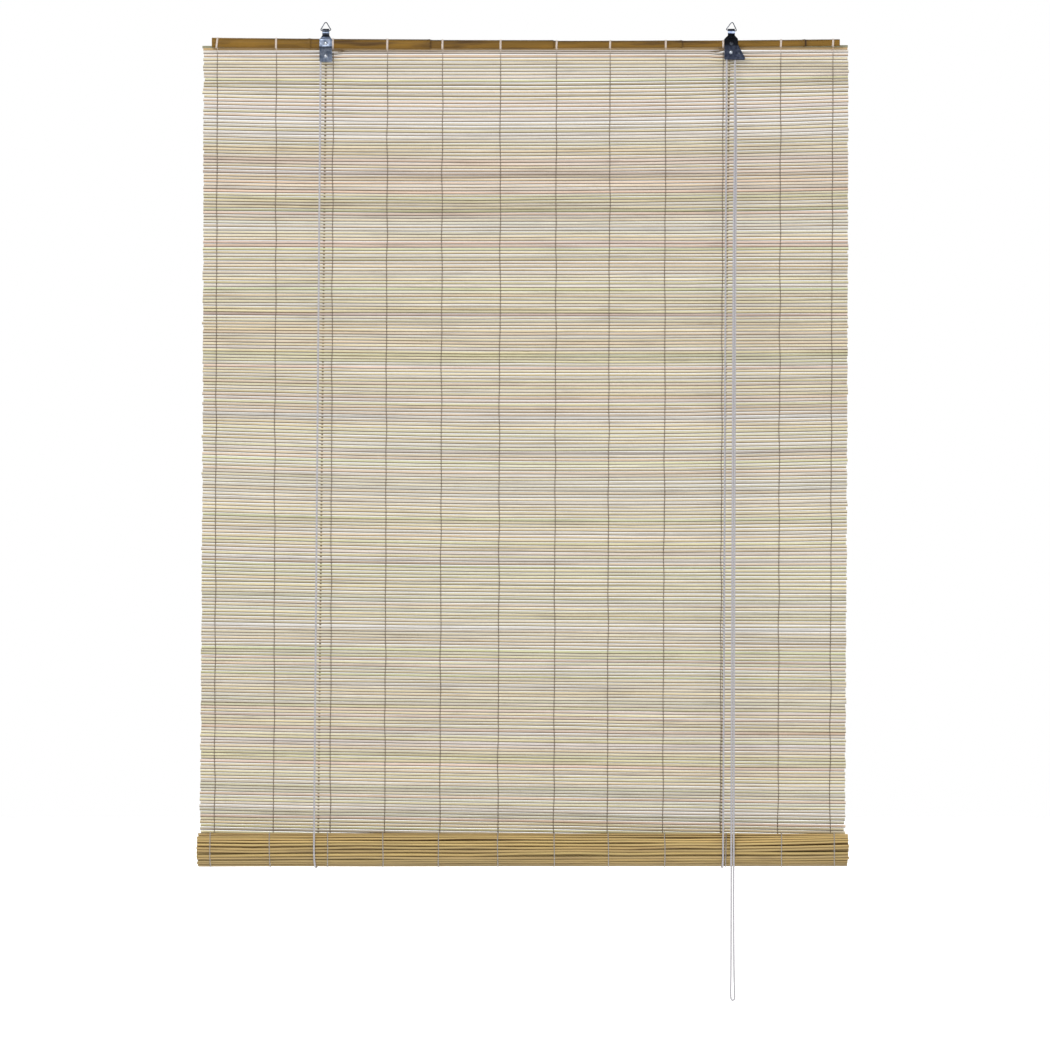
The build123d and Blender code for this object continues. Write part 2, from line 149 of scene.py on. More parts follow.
class BlindMatSettings(bpy.types.PropertyGroup):
    """Slats and threads."""

    width: length("Width", "Length of a slat", 0.9)
    slat_height: length("Slat height", "Height of a slat as it hangs", 3.85 * MM)
    slat_depth: length("Slat depth", "Thickness of a slat from front to back", 1.8 * MM)
    slats: IntProperty(name="Slats", description="Slats that hang below the cane", default=240)
    rolled: IntProperty(name="Rolled slats", description="Slats wound into the roll", default=106)
    drift: length("Drift", "How far the slats wander together from even steps", 0.9 * MM)
    waver: length("Waver", "How far each slat wavers by itself", 0.42 * MM)
    ragged: length("Ragged ends", "How far the slats' ends stand in or out", 1.0 * MM)
    yarn: length("Yarn", "Radius of one warp yarn", 0.45 * MM)
    straw: colour("Straw", "Commonest slat colour", 0.95, 0.89, 0.74)
    rose: colour("Rose", "Pinkish slats", 0.95, 0.83, 0.76)
    olive: colour("Olive", "Greenish slats", 0.90, 0.90, 0.71)
    ash: colour("Ash", "Greyish slats", 0.91, 0.88, 0.85)
    bark: colour("Bark", "The few dark slats", 0.36, 0.28, 0.24)
    # Gold is painted shade: the same slats drawn darker and more golden on the roll
    gold: colour("Gold", "Slats of the roll, which the light reaches from the front only", 0.84, 0.71, 0.43)
    # Thread and Pale thread are one yarn in a shaded and a lit copy: painted darker where it hangs, paler on
    # the roll
    thread: colour("Thread", "Warp yarn", 0.56, 0.50, 0.44)
    pale_thread: colour("Pale thread", "Warp yarn on the roll", 0.72, 0.69, 0.66)
    loop: colour("Loops", "Yarn bound over the cane", 0.93, 0.87, 0.82)


class BlindHeaderSettings(bpy.types.PropertyGroup):
    """Cane, straps and wheels."""

    cane_skin: colour("Cane skin", "Middle tone of the cane", 0.54, 0.40, 0.14)
    cane_dark: colour("Cane shade", "Stains and knuckles of the cane", 0.24, 0.16, 0.09)
    cane_cut: colour("Cane ends", "Cut ends of the cane", 0.74, 0.62, 0.42)
    zinc: colour("Zinc", "Left strap", 0.70, 0.75, 0.84)
    plated: colour("Plating", "Cord lock's housing", 0.34, 0.37, 0.45)
    edge_bevel: length("Edge bevel", "Rounding of the stamped edges", 0.18 * MM)


class BlindCordSettings(bpy.types.PropertyGroup):
    """Lift and pull cords."""

    radius: length("Radius", "Radius of the cord", 1.25 * MM)
    plait: length("Plait", "Length of one stitch of the cord's plait", 3.6 * MM)
    relief: length("Relief", "Height of the plait's stitches", 0.07 * MM)
    shade: colour("Colour", "Colour of the cord", 0.80, 0.79, 0.81)
    # Painted shade: the same cord drawn darker where it lies behind the mat
    dusty: colour("Dusty", "The cord where it lies behind the mat", 0.50, 0.43, 0.33)


class BlindStageSettings(bpy.types.PropertyGroup):
    """Floor, lights and camera."""

    floor_z: length("Floor", "Height of the floor", -1.62)
    camera_x: length("Camera X", "Sideways place of the camera", -0.005)
    camera_z: length("Camera Z", "Height of the camera", -0.7004)
    camera_distance: length("Distance", "Camera to the plane of the mat", 12.0)
    view_width: length("View width", "Width of the view at the plane of the mat", 1.4662)
    backdrop: strength("Backdrop", "Strength of the white behind the blind", 1.0)
    room: strength("Room", "Strength of the white in front of the blind", 0.42)
    key: strength("Key", "Power of the large front light", 62.0, "POWER")
    floor_light: strength("Floor light", "Power over the floor", 900.0, "POWER")


# ---------------------------------------------------------------- modelling helpers

def deselect():
    """Leave nothing selected, in object mode."""
    if bpy.context.object and bpy.context.object.mode != "OBJECT":
        bpy.ops.object.mode_set(mode="OBJECT")
    bpy.ops.object.select_all(action="DESELECT")


def pick(piece):
    """Select one object and make it active."""
    deselect()
    piece.select_set(True)
    bpy.context.view_layer.objects.active = piece


def select_where(piece, kind, test):
    """In edit mode, select only the verts, edges or faces that pass the test."""
    modes = {"verts": "VERT", "edges": "EDGE", "faces": "FACE"}
    bpy.ops.mesh.select_mode(type=modes[kind])
    mesh = bmesh.from_edit_mesh(piece.data)
    for group in (mesh.verts, mesh.edges, mesh.faces):
        for element in group:
            element.select = False
    for element in getattr(mesh, kind):
        if test(element):
            element.select_set(True)
    bmesh.update_edit_mesh(piece.data)


def read_points(piece):
    """The vertices as an array."""
    points = np.zeros(len(piece.data.vertices) * 3)
    piece.data.vertices.foreach_get("co", points)
    return points.reshape(-1, 3)


def write_points(piece, points):
    """Put the vertices where the array says."""
    piece.data.vertices.foreach_set("co", np.asarray(points, float).ravel())
    piece.data.update()


def copy_of(piece, name):
    """A copy with its own mesh."""
    twin = piece.copy()
    twin.data = piece.data.copy()
    twin.name = name
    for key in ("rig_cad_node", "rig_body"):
        if key in twin:
            del twin[key]
    twin.parent = None
    bpy.context.scene.collection.objects.link(twin)
    return twin


def join(pieces, name):
    """Join the pieces into one object."""
    deselect()
    for piece in pieces:
        piece.select_set(True)
    bpy.context.view_layer.objects.active = pieces[0]
    bpy.ops.object.join()
    joined = bpy.context.object
    joined.name = name
    joined.data.name = name
    return joined


def apply_modifier(piece, kind, **values):
    """Add a modifier and apply it."""
    pick(piece)
    modifier = piece.modifiers.new(kind.title(), kind)
    for key, value in values.items():
        setattr(modifier, key, value)
    bpy.ops.object.modifier_apply(modifier=modifier.name)


def smooth(piece, angle=40):
    """Shade smooth, apart from edges sharper than the angle."""
    pick(piece)
    bpy.ops.object.shade_smooth_by_angle(angle=math.radians(angle))


def mesh_object(name, points, faces, rings_uv=None):
    """Object from vertices and faces, with one UV per corner if given."""
    mesh = bpy.data.meshes.new(name)
    mesh.from_pydata([tuple(point) for point in points], [], faces)
    if rings_uv is not None:
        layer = mesh.uv_layers.new(name="UVMap")
        layer.data.foreach_set("uv", np.asarray(rings_uv, float).ravel())
    mesh.polygons.foreach_set("use_smooth", [True] * len(mesh.polygons))
    mesh.update()
    piece = bpy.data.objects.new(name, mesh)
    bpy.context.scene.collection.objects.link(piece)
    return piece


def place(piece, body, slot, material, replaces=()):
    """Give a finished piece its body, its material and what it stands for; the slot is not used."""
    if material is not None:
        piece.data.materials.clear()
        piece.data.materials.append(material)
    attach(piece, body)
    if replaces:
        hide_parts(*replaces)
    return piece


def shrink_with_lift(piece):
    """Give a hanging piece its own mesh."""
    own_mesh(piece)


# ---------------------------------------------------------------- cords and yarns

def smooth_line(route):
    """Points of the smooth line that a route's points control."""
    curve = bpy.data.curves.new("route", "CURVE")
    curve.dimensions = "3D"
    curve.resolution_u = 12
    spline = curve.splines.new("NURBS")
    spline.points.add(len(route) - 1)
    for control, point in zip(spline.points, route):
        control.co = (*point, 1)
    spline.order_u = 3
    spline.use_endpoint_u = True
    holder = bpy.data.objects.new("route", curve)
    line = bpy.data.meshes.new_from_object(holder)
    points = np.array([vertex.co for vertex in line.vertices])
    bpy.data.objects.remove(holder)
    bpy.data.curves.remove(curve)
    bpy.data.meshes.remove(line)
    return points


def even_steps(points, step):
    """The same line with points a step apart."""
    points = np.asarray(points, float)
    runs = np.linalg.norm(np.diff(points, axis=0), axis=1)
    along = np.concatenate([[0], np.cumsum(runs)])
    count = max(2, round(along[-1] / step) + 1)
    marks = np.linspace(0, along[-1], count)
    return np.stack([np.interp(marks, along, points[:, axis]) for axis in range(3)], 1)


def tube(name, points, radius, sides, relief=0.0, plait=1.0):
    """Closed tube along points. Relief raises the two crossing helices of a plait."""
    points = np.asarray(points, float)
    tangents = np.gradient(points, axis=0)
    tangents /= np.linalg.norm(tangents, axis=1)[:, None]
    side = np.cross(tangents[0], (0, 1, 0))
    if np.linalg.norm(side) < 0.1:
        side = np.cross(tangents[0], (1, 0, 0))
    sides_out = np.zeros_like(points)
    for index, tangent in enumerate(tangents):
        side = side - tangent * (side @ tangent)
        side /= np.linalg.norm(side)
        sides_out[index] = side
    ups = np.cross(tangents, sides_out)
    runs = np.linalg.norm(np.diff(points, axis=0), axis=1)
    along = np.concatenate([[0], np.cumsum(runs)])
    angles = np.arange(sides) * 2 * math.pi / sides
    turn = 2 * math.pi * along[:, None] / plait
    stitch = np.sin(turn + 2 * angles[None]) * np.sin(turn - 2 * angles[None])
    reach = radius - relief + relief * (1 + stitch)
    ring = sides_out[:, None] * np.cos(angles)[None, :, None] + ups[:, None] * np.sin(angles)[None, :, None]
    skin = points[:, None] + ring * reach[:, :, None]
    vertices = skin.reshape(-1, 3)
    count = len(points)
    faces, corners = [], []
    for row in range(count - 1):
        for column in range(sides):
            after = (column + 1) % sides
            low, high = row * sides, (row + 1) * sides
            faces.append((low + column, low + after, high + after, high + column))
            left, right = column / sides, (column + 1) / sides
            near, far = along[row], along[row + 1]
            corners += [(left, near), (right, near), (right, far), (left, far)]
    faces.append(tuple(range(sides - 1, -1, -1)))
    faces.append(tuple((count - 1) * sides + column for column in range(sides)))
    corners += [(0.5, along[0])] * sides + [(0.5, along[-1])] * sides
    return mesh_object(name, vertices, faces, corners)


def arc(centre, radius, start, end, steps):
    """Points of an arc in the plane across X, angles from +Y towards +Z, in degrees."""
    angles = np.radians(np.linspace(start, end, steps))
    ys = centre[1] + radius * np.cos(angles)
    zs = centre[2] + radius * np.sin(angles)
    return np.stack([np.full(steps, centre[0]), ys, zs], 1)


# ---------------------------------------------------------------- material helpers

def add_node(tree, kind, inputs=None, **values):
    """Add a node, set its values, and set or link its inputs."""
    node = tree.nodes.new(kind)
    for key, value in values.items():
        setattr(node, key, value)
    for key, value in (inputs or {}).items():
        if isinstance(value, bpy.types.NodeSocket):
            tree.links.new(value, node.inputs[key])
        else:
            node.inputs[key].default_value = value
    return node


def new_material(name, **sockets):
    """A material and its shader, with constants set on the shader's own sockets."""
    material = bpy.data.materials.new(name)
    material.use_nodes = True
    shader = material.node_tree.nodes["Principled BSDF"]
    for key, value in sockets.items():
        shader.inputs[key.replace("_", " ")].default_value = value
    return material, material.node_tree, shader


def new_group(name, inputs, outputs):
    """An empty shader node group with named sockets."""
    tree = bpy.data.node_groups.new(name, "ShaderNodeTree")
    for label, kind, default in inputs:
        socket = tree.interface.new_socket(label, in_out="INPUT", socket_type=kind)
        socket.default_value = default
    for label, kind in outputs:
        tree.interface.new_socket(label, in_out="OUTPUT", socket_type=kind)
    return tree, tree.nodes.new("NodeGroupInput"), tree.nodes.new("NodeGroupOutput")


def use_group(tree, name, inputs):
    """Place a finished node group in a material."""
    node = tree.nodes.new("ShaderNodeGroup")
    node.node_tree = bpy.data.node_groups[name]
    for key, value in inputs.items():
        if isinstance(value, bpy.types.NodeSocket):
            tree.links.new(value, node.inputs[key])
        else:
            node.inputs[key].default_value = value
    return node


def rgba(values):
    """Colour with full alpha."""
    return (*values[:3], 1.0)


def ramp(tree, factor, stops):
    """Greyscale ramp through (position, value) stops."""
    node = add_node(tree, "ShaderNodeValToRGB", {"Fac": factor})
    elements = node.color_ramp.elements
    while len(elements) < len(stops):
        elements.new(0.5)
    for element, (position, value) in zip(elements, stops):
        element.position = position
        element.color = (value, value, value, 1)
    return node.outputs["Color"]


def mix(tree, factor, first, second, blend_type="MIX"):
    """Colour mix of two sockets or colours."""
    node = add_node(tree, "ShaderNodeMix", data_type="RGBA", blend_type=blend_type)
    for key, value in ((0, factor), (6, first), (7, second)):
        if isinstance(value, bpy.types.NodeSocket):
            tree.links.new(value, node.inputs[key])
        else:
            node.inputs[key].default_value = value
    return node.outputs[2]


def arithmetic(tree, operation, first, second):
    """One Math node."""
    node = add_node(tree, "ShaderNodeMath", {0: first, 1: second}, operation=operation)
    return node.outputs[0]


def object_place(tree):
    """Object coordinates."""
    return add_node(tree, "ShaderNodeTexCoord").outputs["Object"]


def cloud(tree, place, scale, detail=2.0):
    """Noise from 0 to 1."""
    node = add_node(tree, "ShaderNodeTexNoise", {"Vector": place, "Scale": scale, "Detail": detail})
    return node.outputs["Fac"]


def streaks(tree, scale, stretch, detail=4.0):
    """Noise on Object coordinates, drawn out along X."""
    mapping = add_node(tree, "ShaderNodeMapping", {"Vector": object_place(tree)})
    mapping.inputs["Scale"].default_value = (scale / stretch, scale, scale)
    return cloud(tree, mapping.outputs[0], 1.0, detail)


def bump(tree, height, strength, distance):
    """Normal from a height."""
    node = add_node(tree, "ShaderNodeBump", {"Height": height, "Strength": strength, "Distance": distance})
    return node.outputs["Normal"]


def feed(tree, shader, base, roughness, normal):
    """Link a material's colour, roughness and normal to its shader."""
    for key, value in (("Base Color", base), ("Roughness", roughness), ("Normal", normal)):
        tree.links.new(value, shader.inputs[key])


def make_fibre_group():
    """Long fibres, pale flecks and brown stains of bamboo, for slats, cane and batten."""
    tree, source, result = new_group(
        "Bamboo Fibre",
        [
            ("Tone", "NodeSocketColor", (0.7, 0.6, 0.4, 1)),
            ("Stain", "NodeSocketColor", (0.3, 0.2, 0.1, 1)),
            ("Fibre", "NodeSocketFloat", 0.25),
            ("Stain Amount", "NodeSocketFloat", 0.2),
        ],
        [("Color", "NodeSocketColor"), ("Height", "NodeSocketFloat"), ("Roughness", "NodeSocketFloat")],
    )
    fine = streaks(tree, 2600.0, 90.0)
    broad = streaks(tree, 260.0, 24.0, 3.0)
    stain = ramp(tree, streaks(tree, 120.0, 9.0, 3.0), [(0.52, 0.0), (0.72, 1.0)])
    shade = ramp(tree, fine, [(0.3, 0.45), (0.7, 1.0)])
    fibre = mix(tree, source.outputs["Fibre"], source.outputs["Tone"], shade, "MULTIPLY")
    lift = ramp(tree, broad, [(0.3, 0.78), (0.7, 1.0)])
    drawn = mix(tree, 0.6, fibre, lift, "MULTIPLY")
    amount = arithmetic(tree, "MULTIPLY", stain, source.outputs["Stain Amount"])
    final = mix(tree, amount, drawn, source.outputs["Stain"])
    rough = ramp(tree, fine, [(0.0, 0.62), (1.0, 0.45)])
    tree.links.new(final, result.inputs["Color"])
    tree.links.new(fine, result.inputs["Height"])
    tree.links.new(rough, result.inputs["Roughness"])


def make_twist_group():
    """Shade and height of twisted or plaited strands, from a tube's own UV map."""
    tree, source, result = new_group(
        "Laid Strands",
        [
            ("Pitch", "NodeSocketFloat", 0.003),
            ("Strands", "NodeSocketFloat", 2.0),
            ("Cross", "NodeSocketFloat", 0.0),
        ],
        [("Height", "NodeSocketFloat"), ("Fuzz", "NodeSocketFloat")],
    )
    uv = add_node(tree, "ShaderNodeUVMap", uv_map="UVMap")
    split = add_node(tree, "ShaderNodeSeparateXYZ", {"Vector": uv.outputs[0]})
    around = arithmetic(tree, "MULTIPLY", split.outputs["X"], source.outputs["Strands"])
    turns = arithmetic(tree, "DIVIDE", split.outputs["Y"], source.outputs["Pitch"])
    waves = []
    for operation in ("ADD", "SUBTRACT"):
        phase = arithmetic(tree, operation, turns, around)
        angle = arithmetic(tree, "MULTIPLY", phase, 2 * math.pi)
        wave = arithmetic(tree, "SINE", angle, 0.0)
        waves.append(arithmetic(tree, "MULTIPLY_ADD", wave, 0.5))
        waves[-1].node.inputs[2].default_value = 0.5
    crossed = arithmetic(tree, "MULTIPLY", waves[0], waves[1])
    height = add_node(tree, "ShaderNodeMix", data_type="FLOAT")
    tree.links.new(source.outputs["Cross"], height.inputs[0])
    tree.links.new(waves[0], height.inputs[2])
    tree.links.new(crossed, height.inputs[3])
    tree.links.new(height.outputs[0], result.inputs["Height"])
    tree.links.new(cloud(tree, object_place(tree), 2200.0, 3.0), result.inputs["Fuzz"])


def make_tarnish_group():
    """Blotches, spangle and fine scratches of plated sheet."""
    tree, source, result = new_group(
        "Tarnish",
        [("Spangle", "NodeSocketFloat", 400.0), ("Scratch", "NodeSocketFloat", 0.5)],
        [("Blotch", "NodeSocketFloat"), ("Mask", "NodeSocketFloat"), ("Height", "NodeSocketFloat")],
    )
    place = object_place(tree)
    spangle = add_node(
        tree, "ShaderNodeTexVoronoi",
        {"Vector": place, "Scale": source.outputs["Spangle"], "Randomness": 1.0},
    )
    grey = add_node(tree, "ShaderNodeSeparateXYZ", {"Vector": spangle.outputs["Color"]})
    blotch = cloud(tree, place, 260.0, 5.0)
    mapping = add_node(tree, "ShaderNodeMapping", {"Vector": place})
    mapping.inputs["Rotation"].default_value = (0.0, math.radians(24), 0.0)
    mapping.inputs["Scale"].default_value = (500.0, 500.0, 9000.0)
    hair = cloud(tree, mapping.outputs[0], 1.0)
    scratch = arithmetic(tree, "MULTIPLY", hair, source.outputs["Scratch"])
    tree.links.new(blotch, result.inputs["Blotch"])
    tree.links.new(grey.outputs["X"], result.inputs["Mask"])
    tree.links.new(scratch, result.inputs["Height"])


# ---------------------------------------------------------------- materials

def slat_material(settings):
    """Split bamboo, its tone painted slat by slat, with painted shade along each slat's lower edge."""
    material, tree, shader = new_material("Split Bamboo", Specular_IOR_Level=0.3)
    tone = add_node(tree, "ShaderNodeAttribute", attribute_name="slat_tone")
    fibre = use_group(
        tree, "Bamboo Fibre",
        {"Tone": tone.outputs["Color"], "Stain": rgba(settings.bark), "Fibre": 0.35, "Stain Amount": 0.22},
    )
    relief = bump(tree, fibre.outputs["Height"], 0.35, 0.0002)
    feed(tree, shader, fibre.outputs["Color"], fibre.outputs["Roughness"], relief)
    return material


def cane_material(settings):
    """Smooth olive-brown skin, darker at the knuckles, painted as an attribute."""
    material, tree, shader = new_material("Cane Skin", Specular_IOR_Level=0.22)
    tone = add_node(tree, "ShaderNodeAttribute", attribute_name="cane_tone")
    fibre = use_group(
        tree, "Bamboo Fibre",
        {
            "Tone": tone.outputs["Color"], "Stain": rgba(settings.cane_dark),
            "Fibre": 0.45, "Stain Amount": 0.75,
        },
    )
    rough = ramp(tree, fibre.outputs["Height"], [(0.0, 0.55), (1.0, 0.4)])
    feed(tree, shader, fibre.outputs["Color"], rough, bump(tree, fibre.outputs["Height"], 0.3, 0.0003))
    return material


def batten_material():
    """Plain softwood of the batten in the roll."""
    material, tree, shader = new_material("Batten Wood", Specular_IOR_Level=0.3)
    fibre = use_group(
        tree, "Bamboo Fibre",
        {
            "Tone": rgba(display(0.80, 0.68, 0.50)), "Stain": rgba(display(0.55, 0.40, 0.24)),
            "Fibre": 0.5, "Stain Amount": 0.4,
        },
    )
    relief = bump(tree, fibre.outputs["Height"], 0.4, 0.0003)
    feed(tree, shader, fibre.outputs["Color"], fibre.outputs["Roughness"], relief)
    return material


def yarn_material(name, shade, pitch, strands, cross, sheen):
    """Spun yarn or plaited cord."""
    material, tree, shader = new_material(
        name, Sheen_Weight=sheen, Sheen_Roughness=0.5, Specular_IOR_Level=0.25
    )
    laid = use_group(tree, "Laid Strands", {"Pitch": pitch, "Strands": strands, "Cross": cross})
    # Painted shade in the grooves between the strands
    valley = ramp(tree, laid.outputs["Height"], [(0.0, 0.72), (0.55, 1.0)])
    fuzz = ramp(tree, laid.outputs["Fuzz"], [(0.3, 0.88), (0.7, 1.0)])
    tinted = mix(tree, 1.0, rgba(shade), valley, "MULTIPLY")
    final = mix(tree, 1.0, tinted, fuzz, "MULTIPLY")
    rough = ramp(tree, laid.outputs["Fuzz"], [(0.0, 0.95), (1.0, 0.75)])
    feed(tree, shader, final, rough, bump(tree, laid.outputs["Height"], 0.6, 0.0003))
    return material


def plain_cord_material(shade):
    """The same cord on the CAD's own short stretches, with a stitch on Object coordinates."""
    material, tree, shader = new_material(
        "Cord Bend", Sheen_Weight=0.3, Sheen_Roughness=0.5, Specular_IOR_Level=0.25
    )
    stitch = add_node(
        tree, "ShaderNodeTexVoronoi", {"Vector": object_place(tree), "Scale": 900.0}, feature="SMOOTH_F1"
    )
    # Painted shade in the grooves between the stitches
    valley = ramp(tree, stitch.outputs["Distance"], [(0.1, 1.0), (0.8, 0.75)])
    tinted = mix(tree, 1.0, rgba(shade), valley, "MULTIPLY")
    rough = ramp(tree, stitch.outputs["Distance"], [(0.0, 0.75), (1.0, 0.95)])
    feed(tree, shader, tinted, rough, bump(tree, valley, 0.5, 0.0003))
    return material


def by_height(tree, stops):
    """Value that changes with Object Z, through (metres, value) stops from the bottom up."""
    axes = add_node(tree, "ShaderNodeSeparateXYZ", {"Vector": object_place(tree)})
    low, high = stops[0][0], stops[-1][0]
    limits = {"Value": axes.outputs["Z"], "From Min": low, "From Max": high}
    share = add_node(tree, "ShaderNodeMapRange", limits)
    return ramp(tree, share.outputs[0], [((z - low) / (high - low), value) for z, value in stops])


def metal_material(name, shade, dark, metallic, low, high, spangle, scratch, shade_and_highlight_bands=None, specular=0.5):
    """Plated sheet or wire, blotched between two shades, with painted shade and painted highlights in bands
    by height where given.
    """
    material, tree, shader = new_material(name, Specular_IOR_Level=specular)
    tarnish = use_group(tree, "Tarnish", {"Spangle": spangle, "Scratch": scratch})
    blotch = ramp(tree, tarnish.outputs["Blotch"], [(0.38, 0.0), (0.62, 1.0)])
    tinted = mix(tree, blotch, rgba(dark), rgba(shade))
    grain = ramp(tree, tarnish.outputs["Mask"], [(0.0, 0.78), (1.0, 1.0)])
    final = mix(tree, 1.0, tinted, grain, "MULTIPLY")
    # Painted shade and painted highlights, in bands by height
    if shade_and_highlight_bands:
        final = mix(tree, 1.0, final, by_height(tree, shade_and_highlight_bands), "MULTIPLY")
        final.node.clamp_result = True
    rough = ramp(tree, tarnish.outputs["Blotch"], [(0.2, high), (0.8, low)])
    shader.inputs["Metallic"].default_value = metallic
    feed(tree, shader, final, rough, bump(tree, tarnish.outputs["Height"], 0.3, 0.0001))
    return material


def plastic_material():
    """Moulded off-white wheels, a little grimed in blotches."""
    material, tree, shader = new_material("Wheel Plastic", Specular_IOR_Level=0.5)
    tarnish = use_group(tree, "Tarnish", {"Spangle": 700.0, "Scratch": 0.6})
    blotch = ramp(tree, tarnish.outputs["Blotch"], [(0.35, 0.0), (0.7, 1.0)])
    tinted = mix(tree, blotch, rgba(display(0.70, 0.69, 0.64)), rgba(display(0.84, 0.83, 0.79)))
    rough = ramp(tree, tarnish.outputs["Blotch"], [(0.0, 0.55), (1.0, 0.35)])
    feed(tree, shader, tinted, rough, bump(tree, tarnish.outputs["Height"], 0.2, 0.0001))
    return material


def floor_material():
    """Pale matt floor."""
    material, tree, shader = new_material("Pale Floor", Specular_IOR_Level=0.1)
    tone = ramp(tree, cloud(tree, object_place(tree), 3.0), [(0.3, 0.93), (0.7, 0.95)])
    tree.links.new(tone, shader.inputs["Base Color"])
    shader.inputs["Roughness"].default_value = 0.9
    return material


# ---------------------------------------------------------------- slats

STATIONS = 12           # stretches of a slat between its rings of vertices
EDGE_LEVELS = (0.0, 0.18, 0.48, 1.0)            # heights on a slat's face, from its bottom edge
HANGING_PAINTED_SHADE = (0.10, 0.17, 1.0, 1.05)        # painted shade, how much darker each slat is drawn towards that edge
# Painted shade of the two edge slats, darker at both edges, and of the rolled slats, darker at their lower
# edge
EDGE_PAINTED_SHADE = (0.6, 0.8, 1.0, 0.7)
ROLLED_PAINTED_SHADE = (0.10, 0.45, 1.0, 1.0)

# A few slats with a dark skin, and from where to where, in shares of the width
DARK_SLATS = {
    9: (-0.25, 0.5), 12: (-0.25, 0.5), 35: (-0.5, 0.1), 36: (-0.1, 0.5), 47: (-0.5, 0.5),
    62: (-0.2, 0.5), 79: (-0.5, 0.3), 121: (-0.1, 0.5), 160: (-0.5, 0.0), 203: (0.0, 0.5),
}


def model_slat(settings):
    """One split slat at the origin: skin edges eased, flat behind, ready to be shaped."""
    deselect()
    bpy.ops.mesh.primitive_cube_add(size=1.0, location=(0, 0, 0))
    slat = bpy.context.object
    slat.name = "slat"
    slat.scale = (settings.width, settings.slat_depth, settings.slat_height)
    bpy.ops.object.transform_apply(location=False, rotation=False, scale=True)
    bpy.ops.object.mode_set(mode="EDIT")

    def runs_long(edge):
        first, second = (vertex.co for vertex in edge.verts)
        return abs(first.x - second.x) > settings.width / 2

    select_where(slat, "edges", lambda edge: runs_long(edge) and edge.verts[0].co.y < 0)
    bpy.ops.mesh.bevel(offset=0.6 * MM, segments=1)
    bpy.ops.mesh.select_all(action="SELECT")
    # A ring of vertices at the height where the painted shade ends
    middle = (EDGE_LEVELS[2] - 0.5) * settings.slat_height
    bpy.ops.mesh.bisect(plane_co=(0, 0, middle), plane_no=(0, 0, 1))
    select_where(slat, "edges", runs_long)
    bpy.ops.mesh.subdivide(number_cuts=STATIONS - 1)
    bpy.ops.object.mode_set(mode="OBJECT")
    # Colour per vertex: the slat's tone together with its painted shade
    slat.data.attributes.new("slat_tone", "FLOAT_COLOR", "POINT")
    return slat


def wander(u, z, seed):
    """Smooth noise about zero."""
    return noise.noise(Vector((u, z, seed)))


def swell(depth):
    """Slow drift of the weave with depth below its top: it was beaten up tighter in places."""
    quick = 3.0 * math.sin(2 * math.pi * (depth - 0.073) / 0.222) * math.exp(-depth / 0.5)
    slow = 3.6 * math.sin(2 * math.pi * (depth - 0.63) / 0.65)
    return (quick + slow) * MM


def sag(share, depth, fall):
    """How far a row lies below its middle at a share of its length: it slants and bows."""
    slant = -2.66 + 9.8 * depth / 1.05
    fading = min(1.0, max(0.0, (fall - depth) / 0.3))
    bow = -(3.92 + 2.8 * math.cos(2 * math.pi * (depth - 0.06) / 0.52)) * fading
    held = 1 - math.exp(-depth / 0.035)
    return (slant * 2 * share + bow * (2 * share) ** 2) * MM * held


def lay_mat(settings):
    """Heights of every hanging slat at its stations, as one array, top slat first."""
    marks = np.linspace(-0.5, 0.5, STATIONS + 1)
    steps = settings.slats
    first = MAT_TOP - settings.slat_height / 2
    last = MAT_FOOT + settings.slat_height / 2
    heights = np.zeros((steps, STATIONS + 1))
    fall = first - last
    for row, z in enumerate(np.linspace(first, last, steps)):
        edge = min(1.0, row / 6, (steps - 1 - row) / 6)
        depth = first - z
        pinned = swell(0.0) + (swell(fall) - swell(0.0)) * depth / fall
        z = z - (swell(depth) - pinned)
        for column, u in enumerate(marks):
            together = wander(2.2 * u, 38 * z, 1.7) + 0.6 * wander(6.5 * u, 70 * z, 4.2)
            alone = wander(7.0 * u, 7.77 * row, 9.1)
            heights[row, column] = (
                z + edge * settings.drift * together + settings.waver * alone - sag(u, depth, fall)
            )
    least = settings.slat_height + 0.2 * MM
    for row in range(1, steps):
        heights[row] = np.minimum(heights[row], heights[row - 1] - least)
    foot = np.array([last - sag(u, fall, fall) for u in marks])
    for row in range(steps - 1, -1, -1):
        heights[row] = np.maximum(heights[row], foot + (steps - 1 - row) * least)
    return heights


LIFTED = (1.6, 1.15, 0.75, 0.35)                # millimetres by which the first slats close up to the cane
RIGHT_RISE = 1.2                                # how much more their right ends rise, as a share of that


def first_slat(centre, lift):
    """Raise one of the first slats, except where a cord passes over it."""
    def raised(share):
        x, y, z, tilt = centre(share)
        passage = math.exp(-((x - LEFT_X - 11 * MM) / (12 * MM)) ** 4)
        passage += math.exp(-((x - LOCK_X + 11 * MM) / (12 * MM)) ** 4)
        rise = 1 - passage + RIGHT_RISE * max(0.0, (share - 0.3) / 0.2)
        return x, y, z + lift * rise * MM, tilt
    return raised


def mat_x(z):
    """Middle of the leaning mat at height z."""
    share = max(0.0, (MAT_TOP - z) / (MAT_TOP - ROLL_AXIS.z))
    return MAT_X_TOP + 0.9 * MM * (1 - share) + (MAT_X_FOOT - MAT_X_TOP) * share ** 2


